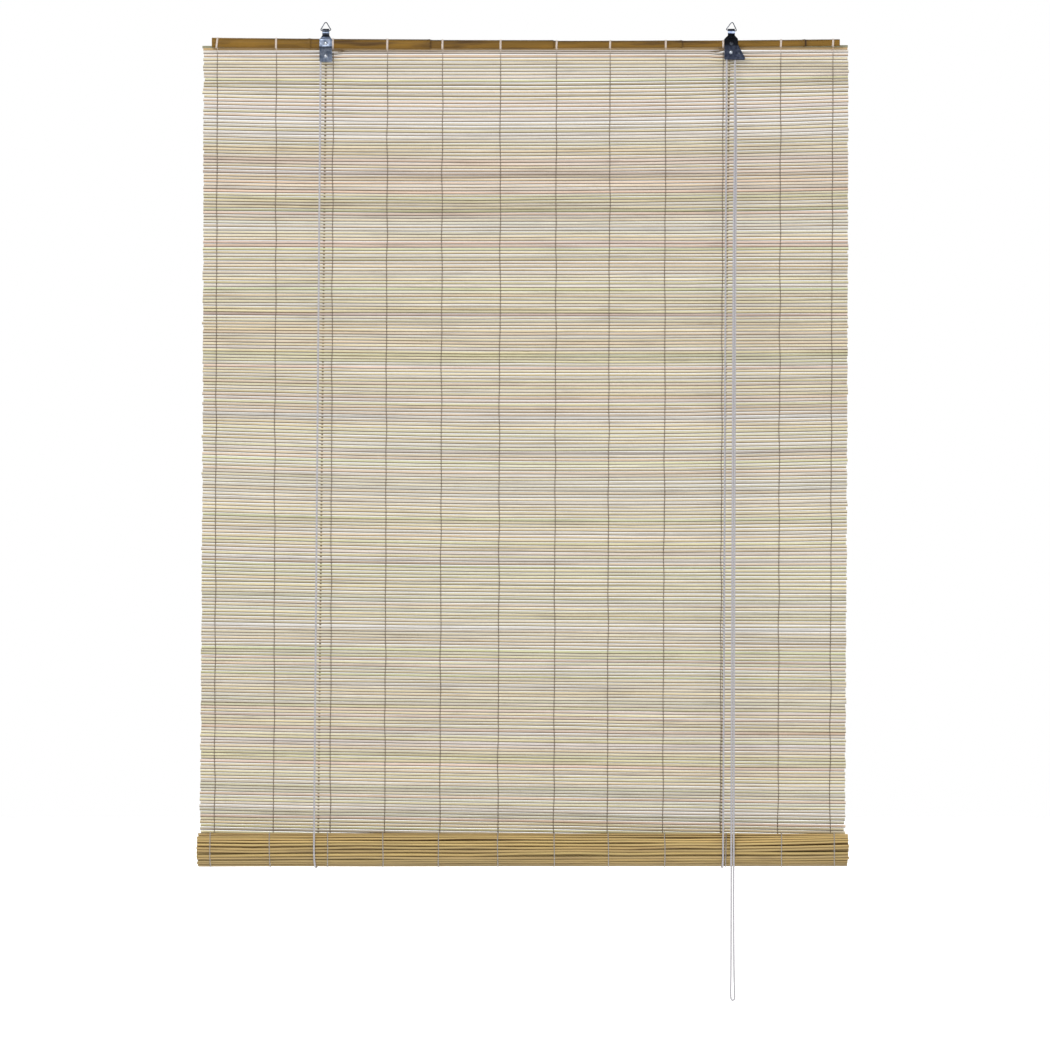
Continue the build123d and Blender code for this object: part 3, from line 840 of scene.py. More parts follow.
def slat_tones(settings, random, row, z, rolled=False):
    """Colour of one slat at each station."""
    choices = np.array([settings.straw, settings.rose, settings.olive, settings.ash])
    weights = random.dirichlet((1.1, 0.5, 0.6, 0.6))
    tone = weights @ choices
    if rolled:
        # Painted shade: rolled slats take the darker gold, since the light reaches them from the front only
        tone = 0.15 * tone + 0.85 * np.array(settings.gold)
    blush = max(0.0, 1 - abs(z + 0.205) / 0.06) if not rolled else 0.0
    tone = tone * (1 - 0.35 * blush) + np.array(settings.rose) * 0.33 * blush
    tone = tone * random.uniform(0.86, 1.06)
    dark = random.random() < (0.02 if not rolled else 0.05)
    start, end = sorted(random.uniform(-0.6, 0.6, 2))
    if row in DARK_SLATS:
        dark, (start, end) = True, DARK_SLATS[row]
    tones = []
    for u in np.linspace(-0.5, 0.5, STATIONS + 1):
        shade = 1 + 0.16 * wander(5 * u, 3.1 * row, 20.5)
        warm = wander(4 * u, 5.3 * row, 31.0)
        local = tone * shade * np.array((1 + 0.05 * warm, 1.0, 1 - 0.07 * warm))
        if dark and start - 0.2 < u < end + 0.2:
            local = 0.7 * local + 0.3 * np.array(settings.bark)
        tones.append(local)
    return np.clip(np.array(tones), 0, 1)


def shape_slat(master, name, tones, centre, random, settings, shades=HANGING_PAINTED_SHADE, longer=0.0, finer=0):
    """Copy the slat and bend it. centre(share) gives x, y, z and the tilt along its length."""
    slat = copy_of(master, name)
    if finer:
        pick(slat)
        bpy.ops.object.mode_set(mode="EDIT")
        select_where(slat, "edges", lambda edge: abs(edge.verts[0].co.x - edge.verts[1].co.x) > 20 * MM)
        bpy.ops.mesh.subdivide(number_cuts=finer)
        bpy.ops.object.mode_set(mode="OBJECT")
    points = read_points(slat)
    u = points[:, 0] / settings.width
    index = np.rint((u + 0.5) * STATIONS).astype(int)
    left, right = random.normal(0, 0.5, 2) * settings.ragged
    thick = random.uniform(0.88, 1.04)
    tall = random.uniform(0.9, 1.08)
    marks, which = np.unique(np.round(u, 4), return_inverse=True)
    middle = np.array([centre(share) for share in marks])[which]
    ends = np.where(index == 0, left - longer, 0) + np.where(index == STATIONS, right + longer, 0)
    tilt = middle[:, 3]
    across = points[:, 1] * thick
    up = points[:, 2] * tall
    placed = np.stack([
        middle[:, 0] + ends,
        middle[:, 1] + across * np.cos(tilt) - up * np.sin(tilt),
        middle[:, 2] + across * np.sin(tilt) + up * np.cos(tilt),
    ], 1)
    write_points(slat, placed)
    # Painted shade: each slat's colour darkens towards its lower edge, and grows warmer as it darkens
    paint = np.interp(0.5 + points[:, 2] / settings.slat_height, EDGE_LEVELS, shades)
    shade_warmth = np.array((0.85, 1.0, 1.25))
    colours = np.ones((len(points), 4))
    colours[:, :3] = np.clip(tones[index] * paint[:, None] ** shade_warmth, 0, 1)
    slat.data.attributes["slat_tone"].data.foreach_set("color", colours.ravel())
    return slat


EDGE_HEIGHT = 4.2 * MM                          # of the lower edge slat
EDGE_SHOWN = ((0.66, 0.66, 0.55), (0.87, 0.75, 0.56))       # displayed colours of the upper and the lower
EDGE_SLANTS = (0.5, 0.55)                                   # millimetres by which their right ends rise


class BLIND_OT_mat(bpy.types.Operator):
    """Weave the hanging slats, band by band, and the two edge slats under the cane"""

    bl_idname = "blind.mat"
    bl_label = "Hanging Slats"

    def execute(self, context):
        settings = context.scene.blind_mat
        random = np.random.RandomState(11)
        master = model_slat(settings)
        material = slat_material(settings)
        heights = lay_mat(settings)
        shares = np.linspace(-0.5, 0.5, STATIONS + 1)
        per_band = settings.slats // len(BANDS)
        for band, node in enumerate(BANDS):
            slats = []
            for row in range(band * per_band, (band + 1) * per_band):
                line = heights[row]
                x = mat_x(line.mean())
                sway = random.uniform(-0.12, 0.12) * MM

                def centre(share, line=line, x=x, sway=sway):
                    z = np.interp(share, shares, line)
                    return x + share * settings.width, MAT_Y + sway, z, 0.0

                tones = slat_tones(settings, random, row, line.mean())
                first = row < len(LIFTED)
                lay = first_slat(centre, LIFTED[row]) if first else centre
                finer = 4 if first else 0
                slats.append(shape_slat(master, f"slat_{row:03d}", tones, lay, random, settings, finer=finer))
            piece = join(slats, f"slats_{band + 1:02d}")
            place(piece, "header", "bamboo_slat", material, [node])
            shrink_with_lift(piece)
        self.edge_slats(settings, master, material, random)
        bpy.data.objects.remove(master)
        return {"FINISHED"}

    def edge_slats(self, settings, master, material, random):
        """The thin slat behind the cane and the thick one under it, a little aslant."""
        levels = (EDGE_HIGH.z - settings.slat_height / 2, EDGE_LOW.z + EDGE_HEIGHT / 2)
        heights = (1.0, EDGE_HEIGHT / settings.slat_height)
        slats = []
        for number, (z, tall, shown, slant) in enumerate(zip(levels, heights, EDGE_SHOWN, EDGE_SLANTS)):

            def centre(share, z=z, slant=slant):
                return MAT_X_TOP + share * settings.width, MAT_Y, z + slant * MM * 2 * share, 0.0

            tones = np.tile(display(*shown), (STATIONS + 1, 1)) * random.uniform(0.9, 1.05, (STATIONS + 1, 1))
            slat = shape_slat(master, f"edge_{number}", tones, centre, random, settings, EDGE_PAINTED_SHADE, finer=4)
            points = read_points(slat)
            middle = np.array([centre(share)[2] for share in (points[:, 0] - MAT_X_TOP) / settings.width])
            points[:, 2] = middle + (points[:, 2] - middle) * tall
            write_points(slat, points)
            slats.append(slat)
        piece = join(slats, "edge_slat_pair")
        place(piece, "header", "bamboo_slat", material, ["edge_slats"])


# ---------------------------------------------------------------- roll

OUTER_INSET = 0.85 * MM                         # from the roll's surface in to its outer slats' middles
CORE_ROOM = 1.1 * MM                            # from the batten out to its nearest slats' middles


def spiral(settings):
    """Angle and radius of every rolled slat, from the back of the roll inwards."""
    pitch = (MAT_TOP - MAT_FOOT - settings.slat_height) / (settings.slats - 1)
    core_low, core_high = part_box("roll_core")
    outside = (ROLL_HIGH.z - ROLL_LOW.z) / 2 - OUTER_INSET
    inside = (core_high.z - core_low.z) / 2 + CORE_ROOM
    rise = MAT_FOOT + settings.slat_height / 2 - pitch - ROLL_AXIS.z
    angle = -math.asin(rise / outside)
    length_wound = settings.rolled * pitch
    turns = length_wound / (math.pi * (outside + inside))
    layer = (outside - inside) / (turns - 0.5)
    places, start = [], angle
    for _ in range(settings.rolled):
        turned, part = divmod((angle - start) / (2 * math.pi), 1)
        step = min(1.0, max(0.0, (part - 0.68) / 0.32))
        radius = max(inside, outside - layer * (turned + step * step * (3 - 2 * step)))
        places.append((angle, radius))
        angle += pitch / radius
    return places


def roll_point(angle, radius):
    """Y and Z on the spiral; the angle runs from the back, down and round to the front."""
    bent = max(angle, -0.4)
    z = ROLL_AXIS.z - radius * math.sin(bent) + radius * (bent - angle)
    return ROLL_AXIS.y + radius * math.cos(bent), z


def rolled_lay(settings):
    """For each rolled slat, its angle and radius at each station."""
    laid = []
    fall = MAT_TOP - MAT_FOOT - settings.slat_height
    least = settings.slat_height * 0.96
    for row, (angle, radius) in enumerate(spiral(settings)):
        line = []
        for station, u in enumerate(np.linspace(-0.5, 0.5, STATIONS + 1)):
            sideways = 2.0 * wander(3.1 * u, 2.9 * row, 50.3) + 1.8 * wander(8 * u, 3.7 * row, 60.9)
            sideways += 3.6 * (2 * abs(u)) ** 4 * wander(0.7 * u, 5.3 * row, 65.4)
            inward = 0.9 * abs(wander(4.1 * u, 1.9 * row, 70.2)) + 0.6 * (u + 0.5)
            shift = sideways * MM * min(1.0, row / 8) + sag(u, fall, fall) * math.exp(-row / 9)
            turned = angle + shift / radius
            if laid:
                turned = max(turned, laid[-1][station][0] + least / radius)
            line.append((turned, radius - inward * MM))
        laid.append(line)
    return laid


class BLIND_OT_roll(bpy.types.Operator):
    """Wind the rest of the slats into the roll"""

    bl_idname = "blind.roll"
    bl_label = "Rolled Slats"

    def execute(self, context):
        settings = context.scene.blind_mat
        random = np.random.RandomState(23)
        master = model_slat(settings)
        shares = np.linspace(-0.5, 0.5, STATIONS + 1)
        slats = []
        for row, line in enumerate(rolled_lay(settings)):
            angles = [angle for angle, _ in line]
            radii = [radius for _, radius in line]

            def centre(share, angles=angles, radii=radii):
                angle = np.interp(share, shares, angles)
                y, z = roll_point(angle, np.interp(share, shares, radii))
                return ROLL_AXIS.x + 0.7 * MM + share * settings.width, y, z, math.pi - angle

            tones = slat_tones(settings, random, row + 300, -1.15, rolled=True)
            # Painted shade on the roll's underside and painted light on its top; both turn with the roll
            low = math.sin(angles[0])
            light = 1 - 0.45 * max(0.0, low) ** 3 + 0.45 * max(0.0, -low) ** 2
            tones = np.clip(tones * light, 0, 1)
            longer = 1.6 * MM * (1 - math.cos(angles[0]))
            name = f"rolled_{row:03d}"
            slats.append(shape_slat(master, name, tones, centre, random, settings, ROLLED_PAINTED_SHADE, longer))
        piece = join(slats, "roll_slats")
        place(piece, "roll", "bamboo_slat", bpy.data.materials["Split Bamboo"], ["rolled_mat"])
        bpy.data.objects.remove(master)
        return {"FINISHED"}


# ---------------------------------------------------------------- warp threads

def thread_x(node, z):
    """Where a warp thread crosses height z, with a slow wander of its own."""
    low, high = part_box(node)
    radius = 0.4 * MM
    share = (MAT_TOP - z) / (MAT_TOP - MAT_FOOT)
    straight = high.x - radius + (low.x - high.x + 2 * radius) * share
    number = THREADS.index(node)
    return straight + 1.3 * MM * wander(3.3 * number, 22 * z, 80.0) * min(1.0, share * 12)


def paired_yarns(centres, normals, settings):
    """Two yarns twisted round a row of slats: in front of one slat, behind the next."""
    reach = settings.slat_depth / 2 + settings.yarn + 0.05 * MM
    half = settings.slat_height * 0.42
    yarns = []
    for side in (1, -1):
        points = []
        for index, (centre, (out, along)) in enumerate(zip(centres, normals)):
            front = side * (1 if index % 2 else -1)
            points.append(centre - along * half + out * reach * front)
            points.append(centre + along * half + out * reach * front)
            if index + 1 < len(centres):
                crossing = (centre + centres[index + 1]) / 2
                points.append(crossing + Vector((settings.yarn * 0.95 * front, 0, 0)))
        yarns.append(points)
    return yarns


BESIDE_CORD = 4.8 * MM                          # the thread under a lift cord moves this far out of its way
RIGHT_CORD_X = middle_of("right_roll_cord").x


class BLIND_OT_threads(bpy.types.Operator):
    """Twist the warp yarns round the hanging slats and round the roll"""

    bl_idname = "blind.threads"
    bl_label = "Warp Threads"

    def execute(self, context):
        settings = context.scene.blind_mat
        # The same yarn as a shaded copy for the hanging threads and a lit copy for the rolled ones
        material = yarn_material("Warp Yarn", settings.thread, 0.9 * MM, 1.0, 0.0, 0.3)
        pale = yarn_material("Pale Yarn", settings.pale_thread, 0.9 * MM, 1.0, 0.0, 0.3)
        heights = lay_mat(settings)
        laid = rolled_lay(settings)
        shares = np.linspace(-0.5, 0.5, STATIONS + 1)
        for number, node in enumerate(THREADS, 1):
            centres, normals = [], []
            for line in heights:
                x = thread_x(node, line[STATIONS // 2])
                z = np.interp((x - mat_x(line.mean())) / settings.width, shares, line)
                centres.append(Vector((x, MAT_Y, z)))
                normals.append((Vector((0, 1, 0)), Vector((0, 0, -1))))
            yarns = paired_yarns(centres, normals, settings)
            pair = [tube(f"yarn_{side}", yarn, settings.yarn, 5) for side, yarn in enumerate(yarns)]
            piece = join(pair, f"thread_{number:02d}")
            place(piece, "header", "warp_thread", material, [node])
            shrink_with_lift(piece)
            self.rolled_thread(number, node, laid, shares, settings, pale)
        return {"FINISHED"}

    def rolled_thread(self, number, node, laid, shares, settings, material):
        """The same two yarns carried on round the spiral."""
        foot = thread_x(node, MAT_FOOT)
        centres, normals = [], []
        for row, line in enumerate(laid):
            x = foot + (foot - ROLL_AXIS.x) * 0.011 * min(1.0, row / 8)
            x += 1.1 * MM * wander(2.2 * number, 0.11 * row, 90.0)
            x += BESIDE_CORD * math.exp(-((foot - RIGHT_CORD_X) / (6 * MM)) ** 2) * min(1.0, row / 8)
            share = (x - ROLL_AXIS.x) / settings.width
            angle = np.interp(share, shares, [angle for angle, _ in line])
            radius = np.interp(share, shares, [radius for _, radius in line])
            y, z = roll_point(angle, radius)
            centres.append(Vector((x, y, z)))
            out = Vector((0, math.cos(angle), -math.sin(angle)))
            along = Vector((0, -math.sin(angle), -math.cos(angle)))
            normals.append((out, along))
        yarns = paired_yarns(centres, normals, settings)
        pair = [tube(f"yarn_{side}", yarn, settings.yarn * 1.5, 5) for side, yarn in enumerate(yarns)]
        piece = join(pair, f"rolled_thread_{number:02d}")
        place(piece, "roll", "warp_thread", material)


# ---------------------------------------------------------------- header cane

KNUCKLES = (0.156, 0.347, 0.543, 0.748, 0.944)              # shares of the cane's length
KNUCKLE_MARKS = (0.3, 0.45, 0.35, 0.45, 0.8)                # how dark each is
CANE_RADII = (7.0, 7.0, 6.2, 5.2, 4.8, 4.8)                 # millimetres, between the knuckles
KNUCKLE_RINGS = (-6, -4, -2.6, -1.4, -0.4, 0.5, 1.1, 1.6, 2.1, 2.8, 4, 6)   # millimetres from each knuckle
CANE_MID_Z = -29.9 * MM
CANE_BOW = 2.6 * MM                                         # how much higher its ends stand than its middle


def cane_share(x):
    """Share of the cane's length at x."""
    return (x - CANE_LOW.x) / (CANE_HIGH.x - CANE_LOW.x)


def cane_radius(x):
    """Radius of the cane at x, swelling at each knuckle."""
    share = cane_share(x)
    radii = [radius * MM for radius in CANE_RADII]
    span = CANE_HIGH.x - CANE_LOW.x
    radius = radii[0]
    for knuckle, after in zip(KNUCKLES, radii[1:]):
        past = (share - knuckle) * span
        step = min(1.0, max(0.0, (past + 5 * MM) / (10 * MM)))
        radius += (after - radius) * step * step * (3 - 2 * step)
    for knuckle in KNUCKLES:
        past = (share - knuckle) * span
        radius += 0.62 * MM * math.exp(-(past / (2.4 * MM)) ** 2)
        radius -= 0.45 * MM * math.exp(-((past - 1.6 * MM) / (0.55 * MM)) ** 2)
    return radius


def cane_z(x):
    """Height of the cane's bowed axis at x."""
    return CANE_MID_Z + CANE_BOW * (2 * cane_share(x) - 1) ** 2


class BLIND_OT_cane(bpy.types.Operator):
    """Model the header cane with its knuckles, cut ends and hollow"""

    bl_idname = "blind.cane"
    bl_label = "Header Cane"

    def execute(self, context):
        settings = context.scene.blind_header
        span = CANE_HIGH.x - CANE_LOW.x
        centre = (CANE_HIGH.x + CANE_LOW.x) / 2
        deselect()
        bpy.ops.mesh.primitive_cylinder_add(
            vertices=28, radius=1.0, depth=span, end_fill_type="NGON",
            location=(centre, 0, 0), rotation=(0, math.pi / 2, 0),
        )
        cane = bpy.context.object
        bpy.ops.object.transform_apply()
        bpy.ops.object.mode_set(mode="EDIT")
        stations = list(np.linspace(CANE_LOW.x, CANE_HIGH.x, 46)[1:-1])
        for knuckle in KNUCKLES:
            x = CANE_LOW.x + knuckle * span
            stations += [x + offset * MM for offset in KNUCKLE_RINGS]
        for x in stations:
            bpy.ops.mesh.select_all(action="SELECT")
            bpy.ops.mesh.bisect(plane_co=(x, 0, 0), plane_no=(1, 0, 0))
        bpy.ops.object.mode_set(mode="OBJECT")
        self.shape(cane)
        self.hollow_ends(cane)
        self.paint(cane, settings)
        smooth(cane, 50)
        cane.name = "cane"
        place(cane, "header", "cane", cane_material(settings), ["header_cane"])
        return {"FINISHED"}

    def shape(self, cane):
        """Move each ring to its radius and to the bowed axis."""
        points = read_points(cane)
        for point in points:
            x, y, z = point
            angle = math.atan2(z, y)
            uneven = 1 + 0.02 * wander(9 * x, math.cos(angle), 3.3)
            uneven += 0.015 * wander(40 * x, math.sin(angle), 7.1)
            radius = cane_radius(x) * min(uneven, 1.0)
            point[1] = radius * math.cos(angle)
            point[2] = cane_z(x) + radius * math.sin(angle)
        write_points(cane, points)

    def hollow_ends(self, cane):
        """Sawn ends with the hollow of the cane inside."""
        pick(cane)
        bpy.ops.object.mode_set(mode="EDIT")
        for side in (-1, 1):

            def is_end(face, side=side):
                return face.normal.x * side > 0.99 and len(face.verts) > 10

            select_where(cane, "faces", is_end)
            bpy.ops.mesh.inset(thickness=0.35 * MM, depth=0.0)
            bpy.ops.mesh.inset(thickness=1.9 * MM, depth=0.0)
            bpy.ops.mesh.extrude_region_move(TRANSFORM_OT_translate={"value": (-side * 9 * MM, 0, 0)})
        bpy.ops.object.mode_set(mode="OBJECT")

    def paint(self, cane, settings):
        """Tone of the cane: darker above and at the knuckles, pale on the cuts."""
        attribute = cane.data.attributes.new("cane_tone", "FLOAT_COLOR", "CORNER")
        shades = (settings.cane_skin, settings.cane_dark, settings.cane_cut)
        skin, dark, cut = (np.array(shade) for shade in shades)
        span = CANE_HIGH.x - CANE_LOW.x
        tones = []
        for face in cane.data.polygons:
            from_end = min(abs(face.center.x - CANE_LOW.x), abs(face.center.x - CANE_HIGH.x))
            sawn = abs(face.normal.x) > 0.9 and from_end < 2 * MM
            for vertex in face.vertices:
                x, y, z = cane.data.vertices[vertex].co
                share = cane_share(x)
                tone = skin * (1 + 0.3 * wander(14 * x, 90 * z, 12.0))
                rise = (z - cane_z(x)) / cane_radius(x)
                ridge = min(1.0, max(0.0, (rise - 0.62) / 0.2)) * (0.75 + 0.5 * wander(9 * x, 0, 44.0))
                tone = tone + (0.6 * dark - tone) * min(1.0, max(0.0, ridge * (share > 0.075)))
                for knuckle, mark in zip(KNUCKLES, KNUCKLE_MARKS):
                    past = (share - knuckle) * span
                    near = math.exp(-((past - 1.4 * MM) / (1.3 * MM)) ** 2)
                    near += 0.35 * math.exp(-(past / (7 * MM)) ** 2)
                    tone = tone + (dark - tone) * min(1.0, mark * near)
                tones.append((*np.clip(cut if sawn else tone, 0, 1), 1))
        attribute.data.foreach_set("color", np.array(tones).ravel())


class BLIND_OT_loops(bpy.types.Operator):
    """Bind the cane with the yarn loops that carry the mat"""

    bl_idname = "blind.loops"
    bl_label = "Yarn Loops"

    turns: IntProperty(name="Turns", description="Turns of yarn round the cane", default=3)

    def execute(self, context):
        settings = context.scene.blind_mat
        material = yarn_material("Loop Yarn", settings.loop, 1.1 * MM, 1.0, 0.0, 0.3)
        for number, node in enumerate(THREADS, 1):
            x = thread_x(node, MAT_TOP)
            aslant = (0.8 if number == 1 else 0.25 * wander(number * 1.7, 0, 5)) * MM
            around = cane_radius(x) + settings.yarn
            axis = Vector((x, 0, cane_z(x)))
            points = []
            steps = 20 * self.turns
            for step in range(steps + 1):
                angle = -math.pi / 2 - 2 * math.pi * step / 20
                across = (step / steps - 0.5) * 1.9 * settings.yarn * self.turns
                height = around * math.sin(angle)
                across += aslant * height / around
                points.append((x + across, around * math.cos(angle), axis.z + height))
            coil = tube(f"coil_{number}", points, settings.yarn, 6)
            leads = [self.lead(number, side, axis, around, settings) for side in (-1, 1)]
            piece = join([coil, *leads], f"thread_loop_{number:02d}")
            place(piece, "header", "warp_thread", material)
        return {"FINISHED"}

    def lead(self, number, side, axis, around, settings):
        """Yarn from the coil down to the first slat, one in front of the mat and one behind."""
        reach = settings.slat_depth / 2 + settings.yarn + 0.05 * MM
        first = MAT_TOP - settings.slat_height / 2
        start_y = 0.25 * around if side < 0 else around
        start_z = axis.z - math.sqrt(max(0.0, around ** 2 - start_y ** 2))
        route = [
            (axis.x, start_y, start_z),
            (axis.x, MAT_Y + side * reach, min(start_z, EDGE_HIGH.z) - 1.5 * MM),
            (axis.x, MAT_Y + side * reach, EDGE_LOW.z),
            (axis.x, MAT_Y + side * reach, first + settings.slat_height * 0.42),
        ]
        return tube(f"lead_{number}_{side}", even_steps(smooth_line(route), 1.2 * MM), settings.yarn, 6)


# ---------------------------------------------------------------- straps, rings, wheels

def finish_cad(node, name, body, slot, material, bevel):
    """Merged copy of a CAD node with eased edges, standing for it."""
    piece = copy_of(NODES[node], name)
    pick(piece)
    bpy.ops.object.mode_set(mode="EDIT")
    bpy.ops.mesh.select_all(action="SELECT")
    bpy.ops.mesh.remove_doubles(threshold=0.002 * MM)
    bpy.ops.mesh.dissolve_limited(angle_limit=math.radians(0.5))
    bpy.ops.object.mode_set(mode="OBJECT")
    if bevel > 0:
        apply_modifier(
            piece, "BEVEL", width=bevel, segments=2, limit_method="ANGLE",
            angle_limit=math.radians(50), harden_normals=False,
        )
    smooth(piece, 35)
    return place(piece, body, slot, material, [node])


# Painted shade and painted highlights of the two straps, as bands by height: (metres, share of the colour),
# from the bottom up
ZINC_SHADE_AND_HIGHLIGHTS = (
    (-0.0545, 0.62), (-0.0440, 0.40), (-0.0365, 0.42), (-0.0350, 0.14), (-0.0332, 0.20), (-0.0325, 1.0),
    (-0.0205, 0.85), (-0.0188, 0.03), (-0.0158, 0.10), (-0.0144, 0.14), (-0.0139, 2.2), (-0.0129, 2.2),
    (-0.0124, 0.08), (-0.0112, 0.35), (-0.0100, 0.08),
)
PLATING_SHADE_AND_HIGHLIGHTS = (
    (-0.0515, 0.80), (-0.0400, 0.62), (-0.0325, 0.45), (-0.0300, 0.08), (-0.0148, 0.03), (-0.0136, 8.0),
    (-0.0120, 8.0), (-0.0112, 0.20), (-0.0095, 0.25),
)


class BLIND_OT_hardware(bpy.types.Operator):
    """Finish the straps, rings, rivets, wheels and cam"""

    bl_idname = "blind.hardware"
    bl_label = "Straps and Wheels"

    def execute(self, context):
        settings = context.scene.blind_header
        bevel = settings.edge_bevel
        zinc = metal_material(
            "Zinc Sheet", settings.zinc, display(0.46, 0.52, 0.62), 0.8, 0.28, 0.5, 450.0, 0.6, ZINC_SHADE_AND_HIGHLIGHTS
        )
        plated = metal_material(
            "Dark Plating", settings.plated, display(0.20, 0.23, 0.31), 0.55, 0.3, 0.55, 600.0, 0.5,
            PLATING_SHADE_AND_HIGHLIGHTS, specular=0.15,
        )
        dull = metal_material(
            "Dull Rivet", display(0.36, 0.38, 0.42), display(0.16, 0.17, 0.20), 0.7, 0.3, 0.5, 900.0, 0.4
        )
        wire = metal_material(
            "Ring Wire", display(0.50, 0.52, 0.56), display(0.26, 0.28, 0.32), 0.9, 0.25, 0.4, 900.0, 0.4
        )
        bright = metal_material(
            "Rivet Steel", display(0.82, 0.84, 0.87), display(0.6, 0.63, 0.68), 0.9, 0.2, 0.35, 900.0, 0.4
        )
        brass = metal_material(
            "Cam Brass", display(0.78, 0.64, 0.36), display(0.55, 0.43, 0.22), 0.9, 0.3, 0.5, 700.0, 0.5
        )
        plastic = plastic_material()
        finish_cad("left_strap", "strap_left", "header", "galvanised_steel", zinc, bevel)
        finish_cad("lock_strap", "strap_lock", "header", "blued_steel", plated, bevel)
        finish_cad("left_ring", "ring_left", "left_ring", "galvanised_steel", wire, 0)
        finish_cad("right_ring", "ring_right", "right_ring", "blued_steel", wire, 0)
        for node, material, slot in (
            ("left_clamp_rivet", bright, "galvanised_steel"), ("left_axle", bright, "galvanised_steel"),
            ("lock_clamp_rivet", dull, "blued_steel"), ("lock_axle", bright, "blued_steel"),
            ("cam_pin", dull, "blued_steel"),
        ):
            finish_cad(node, f"{node}_finished", "header", slot, material, 0.1 * MM)
        finish_cad("left_wheel", "wheel_left", "left_wheel", "wheel_plastic", plastic, 0.15 * MM)
        finish_cad("lock_wheel", "wheel_lock", "lock_wheel", "wheel_plastic", plastic, 0.15 * MM)
        finish_cad("lock_cam", "cam", "lock_cam", "cam_brass", brass, 0.1 * MM)
        return {"FINISHED"}


class BLIND_OT_batten(bpy.types.Operator):
    """Finish the batten in the middle of the roll"""

    bl_idname = "blind.batten"
    bl_label = "Roll Batten"

    def execute(self, context):
        finish_cad("roll_core", "batten", "roll", "batten_wood", batten_material(), 0.8 * MM)
        return {"FINISHED"}


# ---------------------------------------------------------------- cords

def cord_tube(name, points, settings):
    """Plaited cord along points."""
    return tube(name, even_steps(points, 0.9 * MM), settings.radius, 10, settings.relief, settings.plait)


REAR_ASIDE = {"left": 4.5 * MM, "right": -1.5 * MM}         # how far each rear cord's foot stands aside


class BLIND_OT_lift_cords(bpy.types.Operator):
    """Hang the lift cords behind the mat, under the roll and up in front"""

    bl_idname = "blind.lift_cords"
    bl_label = "Lift Cords"

    def execute(self, context):
        settings = context.scene.blind_cord
        material = yarn_material("Plaited Cord", settings.shade, settings.plait, 2.0, 1.0, 0.4)
        # The rear strands are the same cord in a painted-shade colour
        dusty = yarn_material("Dusty Cord", settings.dusty, settings.plait, 2.0, 1.0, 0.1)
        for node in ("left_front_cord", "right_front_cord", "left_rear_cord", "right_rear_cord"):
            top, foot = ends_of(node)
            if "rear" in node:
                foot.x += REAR_ASIDE[node.split("_")[0]]
            piece = cord_tube(node.replace("_cord", "_strand"), [top, foot], settings)
            place(piece, "header", "lift_cord", dusty if "rear" in node else material, [node])
            shrink_with_lift(piece)
        for node in ("left_roll_cord", "right_roll_cord"):
            low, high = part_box(node)
            wrap = (high.y - low.y) / 2 - settings.radius
            centre = ((low.x + high.x) / 2, ROLL_AXIS.y, ROLL_AXIS.z)
            points = [Vector(point) for point in arc(centre, wrap, 0, -180, 60)]
            for point in points:
                point.x += REAR_ASIDE[node.split("_")[0]] * (point.y - ROLL_AXIS.y + wrap) / (2 * wrap)
            piece = cord_tube(node.replace("_cord", "_loop"), points, settings)
            place(piece, "lift_loops", "lift_cord", material, [node])
        # The CAD's own short stretches of cord take the same painted-shade colour
        bend = plain_cord_material(settings.dusty)
        for node in ("cross_cord", "lock_cord", "left_tie", "right_tie"):
            NODES[node].data.materials.clear()
            NODES[node].data.materials.append(bend)
        return {"FINISHED"}


class BLIND_OT_pull_cord(bpy.types.Operator):
    """Hang the doubled pull cord below the lock"""

    bl_idname = "blind.pull_cord"
    bl_label = "Pull Cord"

    def execute(self, context):
        settings = context.scene.blind_cord
        low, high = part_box("pull_cord")
        pull_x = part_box("lock_cord")[1].x - settings.radius
        plane_y = low.y + settings.radius
        tip_z = low.z
        top_z = high.z
        groove = 1.6 * MM
        down = [
            (0.0, -groove, top_z),
            (0.0, -groove, -58.3 * MM),
            (-0.2 * MM, -5.4 * MM, -73.3 * MM),
            (-0.5 * MM, -14.6 * MM, -102.3 * MM),
            (-1.0 * MM, -27.4 * MM, -147.3 * MM),
            (-1.6 * MM, -36.4 * MM, -192.3 * MM),
            (-2.2 * MM, -40.2 * MM, -237.3 * MM),
            (-3.1 * MM, plane_y, -297.3 * MM),
            (-6.3 * MM, plane_y, -1125.0 * MM),
            (-6.7 * MM, plane_y, -1325.0 * MM),
            (-7.3 * MM, plane_y, tip_z + 9.0 * MM),
            (-6.5 * MM, plane_y, tip_z + settings.radius),
        ]
        up = [
            (-1.9 * MM, plane_y, tip_z + settings.radius),
            (-1.3 * MM, plane_y, tip_z + 9.0 * MM),
            (-2.8 * MM, plane_y, -1325.0 * MM),
            (-3.0 * MM, plane_y, -1125.0 * MM),
            (-0.4 * MM, plane_y, -297.3 * MM),
            (0.3 * MM, -39.6 * MM, -237.3 * MM),
            (0.6 * MM, -35.0 * MM, -192.3 * MM),
            (0.7 * MM, -25.4 * MM, -147.3 * MM),
            (0.4 * MM, -12.0 * MM, -102.3 * MM),
            (0.1 * MM, -2.4 * MM, -73.3 * MM),
            (0.0, groove, -58.3 * MM),
            (0.0, groove, top_z),
        ]
        route = [(pull_x + x, y, z) for x, y, z in down + up]
        line = even_steps(smooth_line(route), 0.9 * MM)
        piece = tube("pull_cord_loop", line, settings.radius, 10, settings.relief, settings.plait)
        place(piece, "header", "lift_cord", bpy.data.materials["Plaited Cord"], ["pull_cord"])
        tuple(route[0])
        return {"FINISHED"}


# ---------------------------------------------------------------- stage

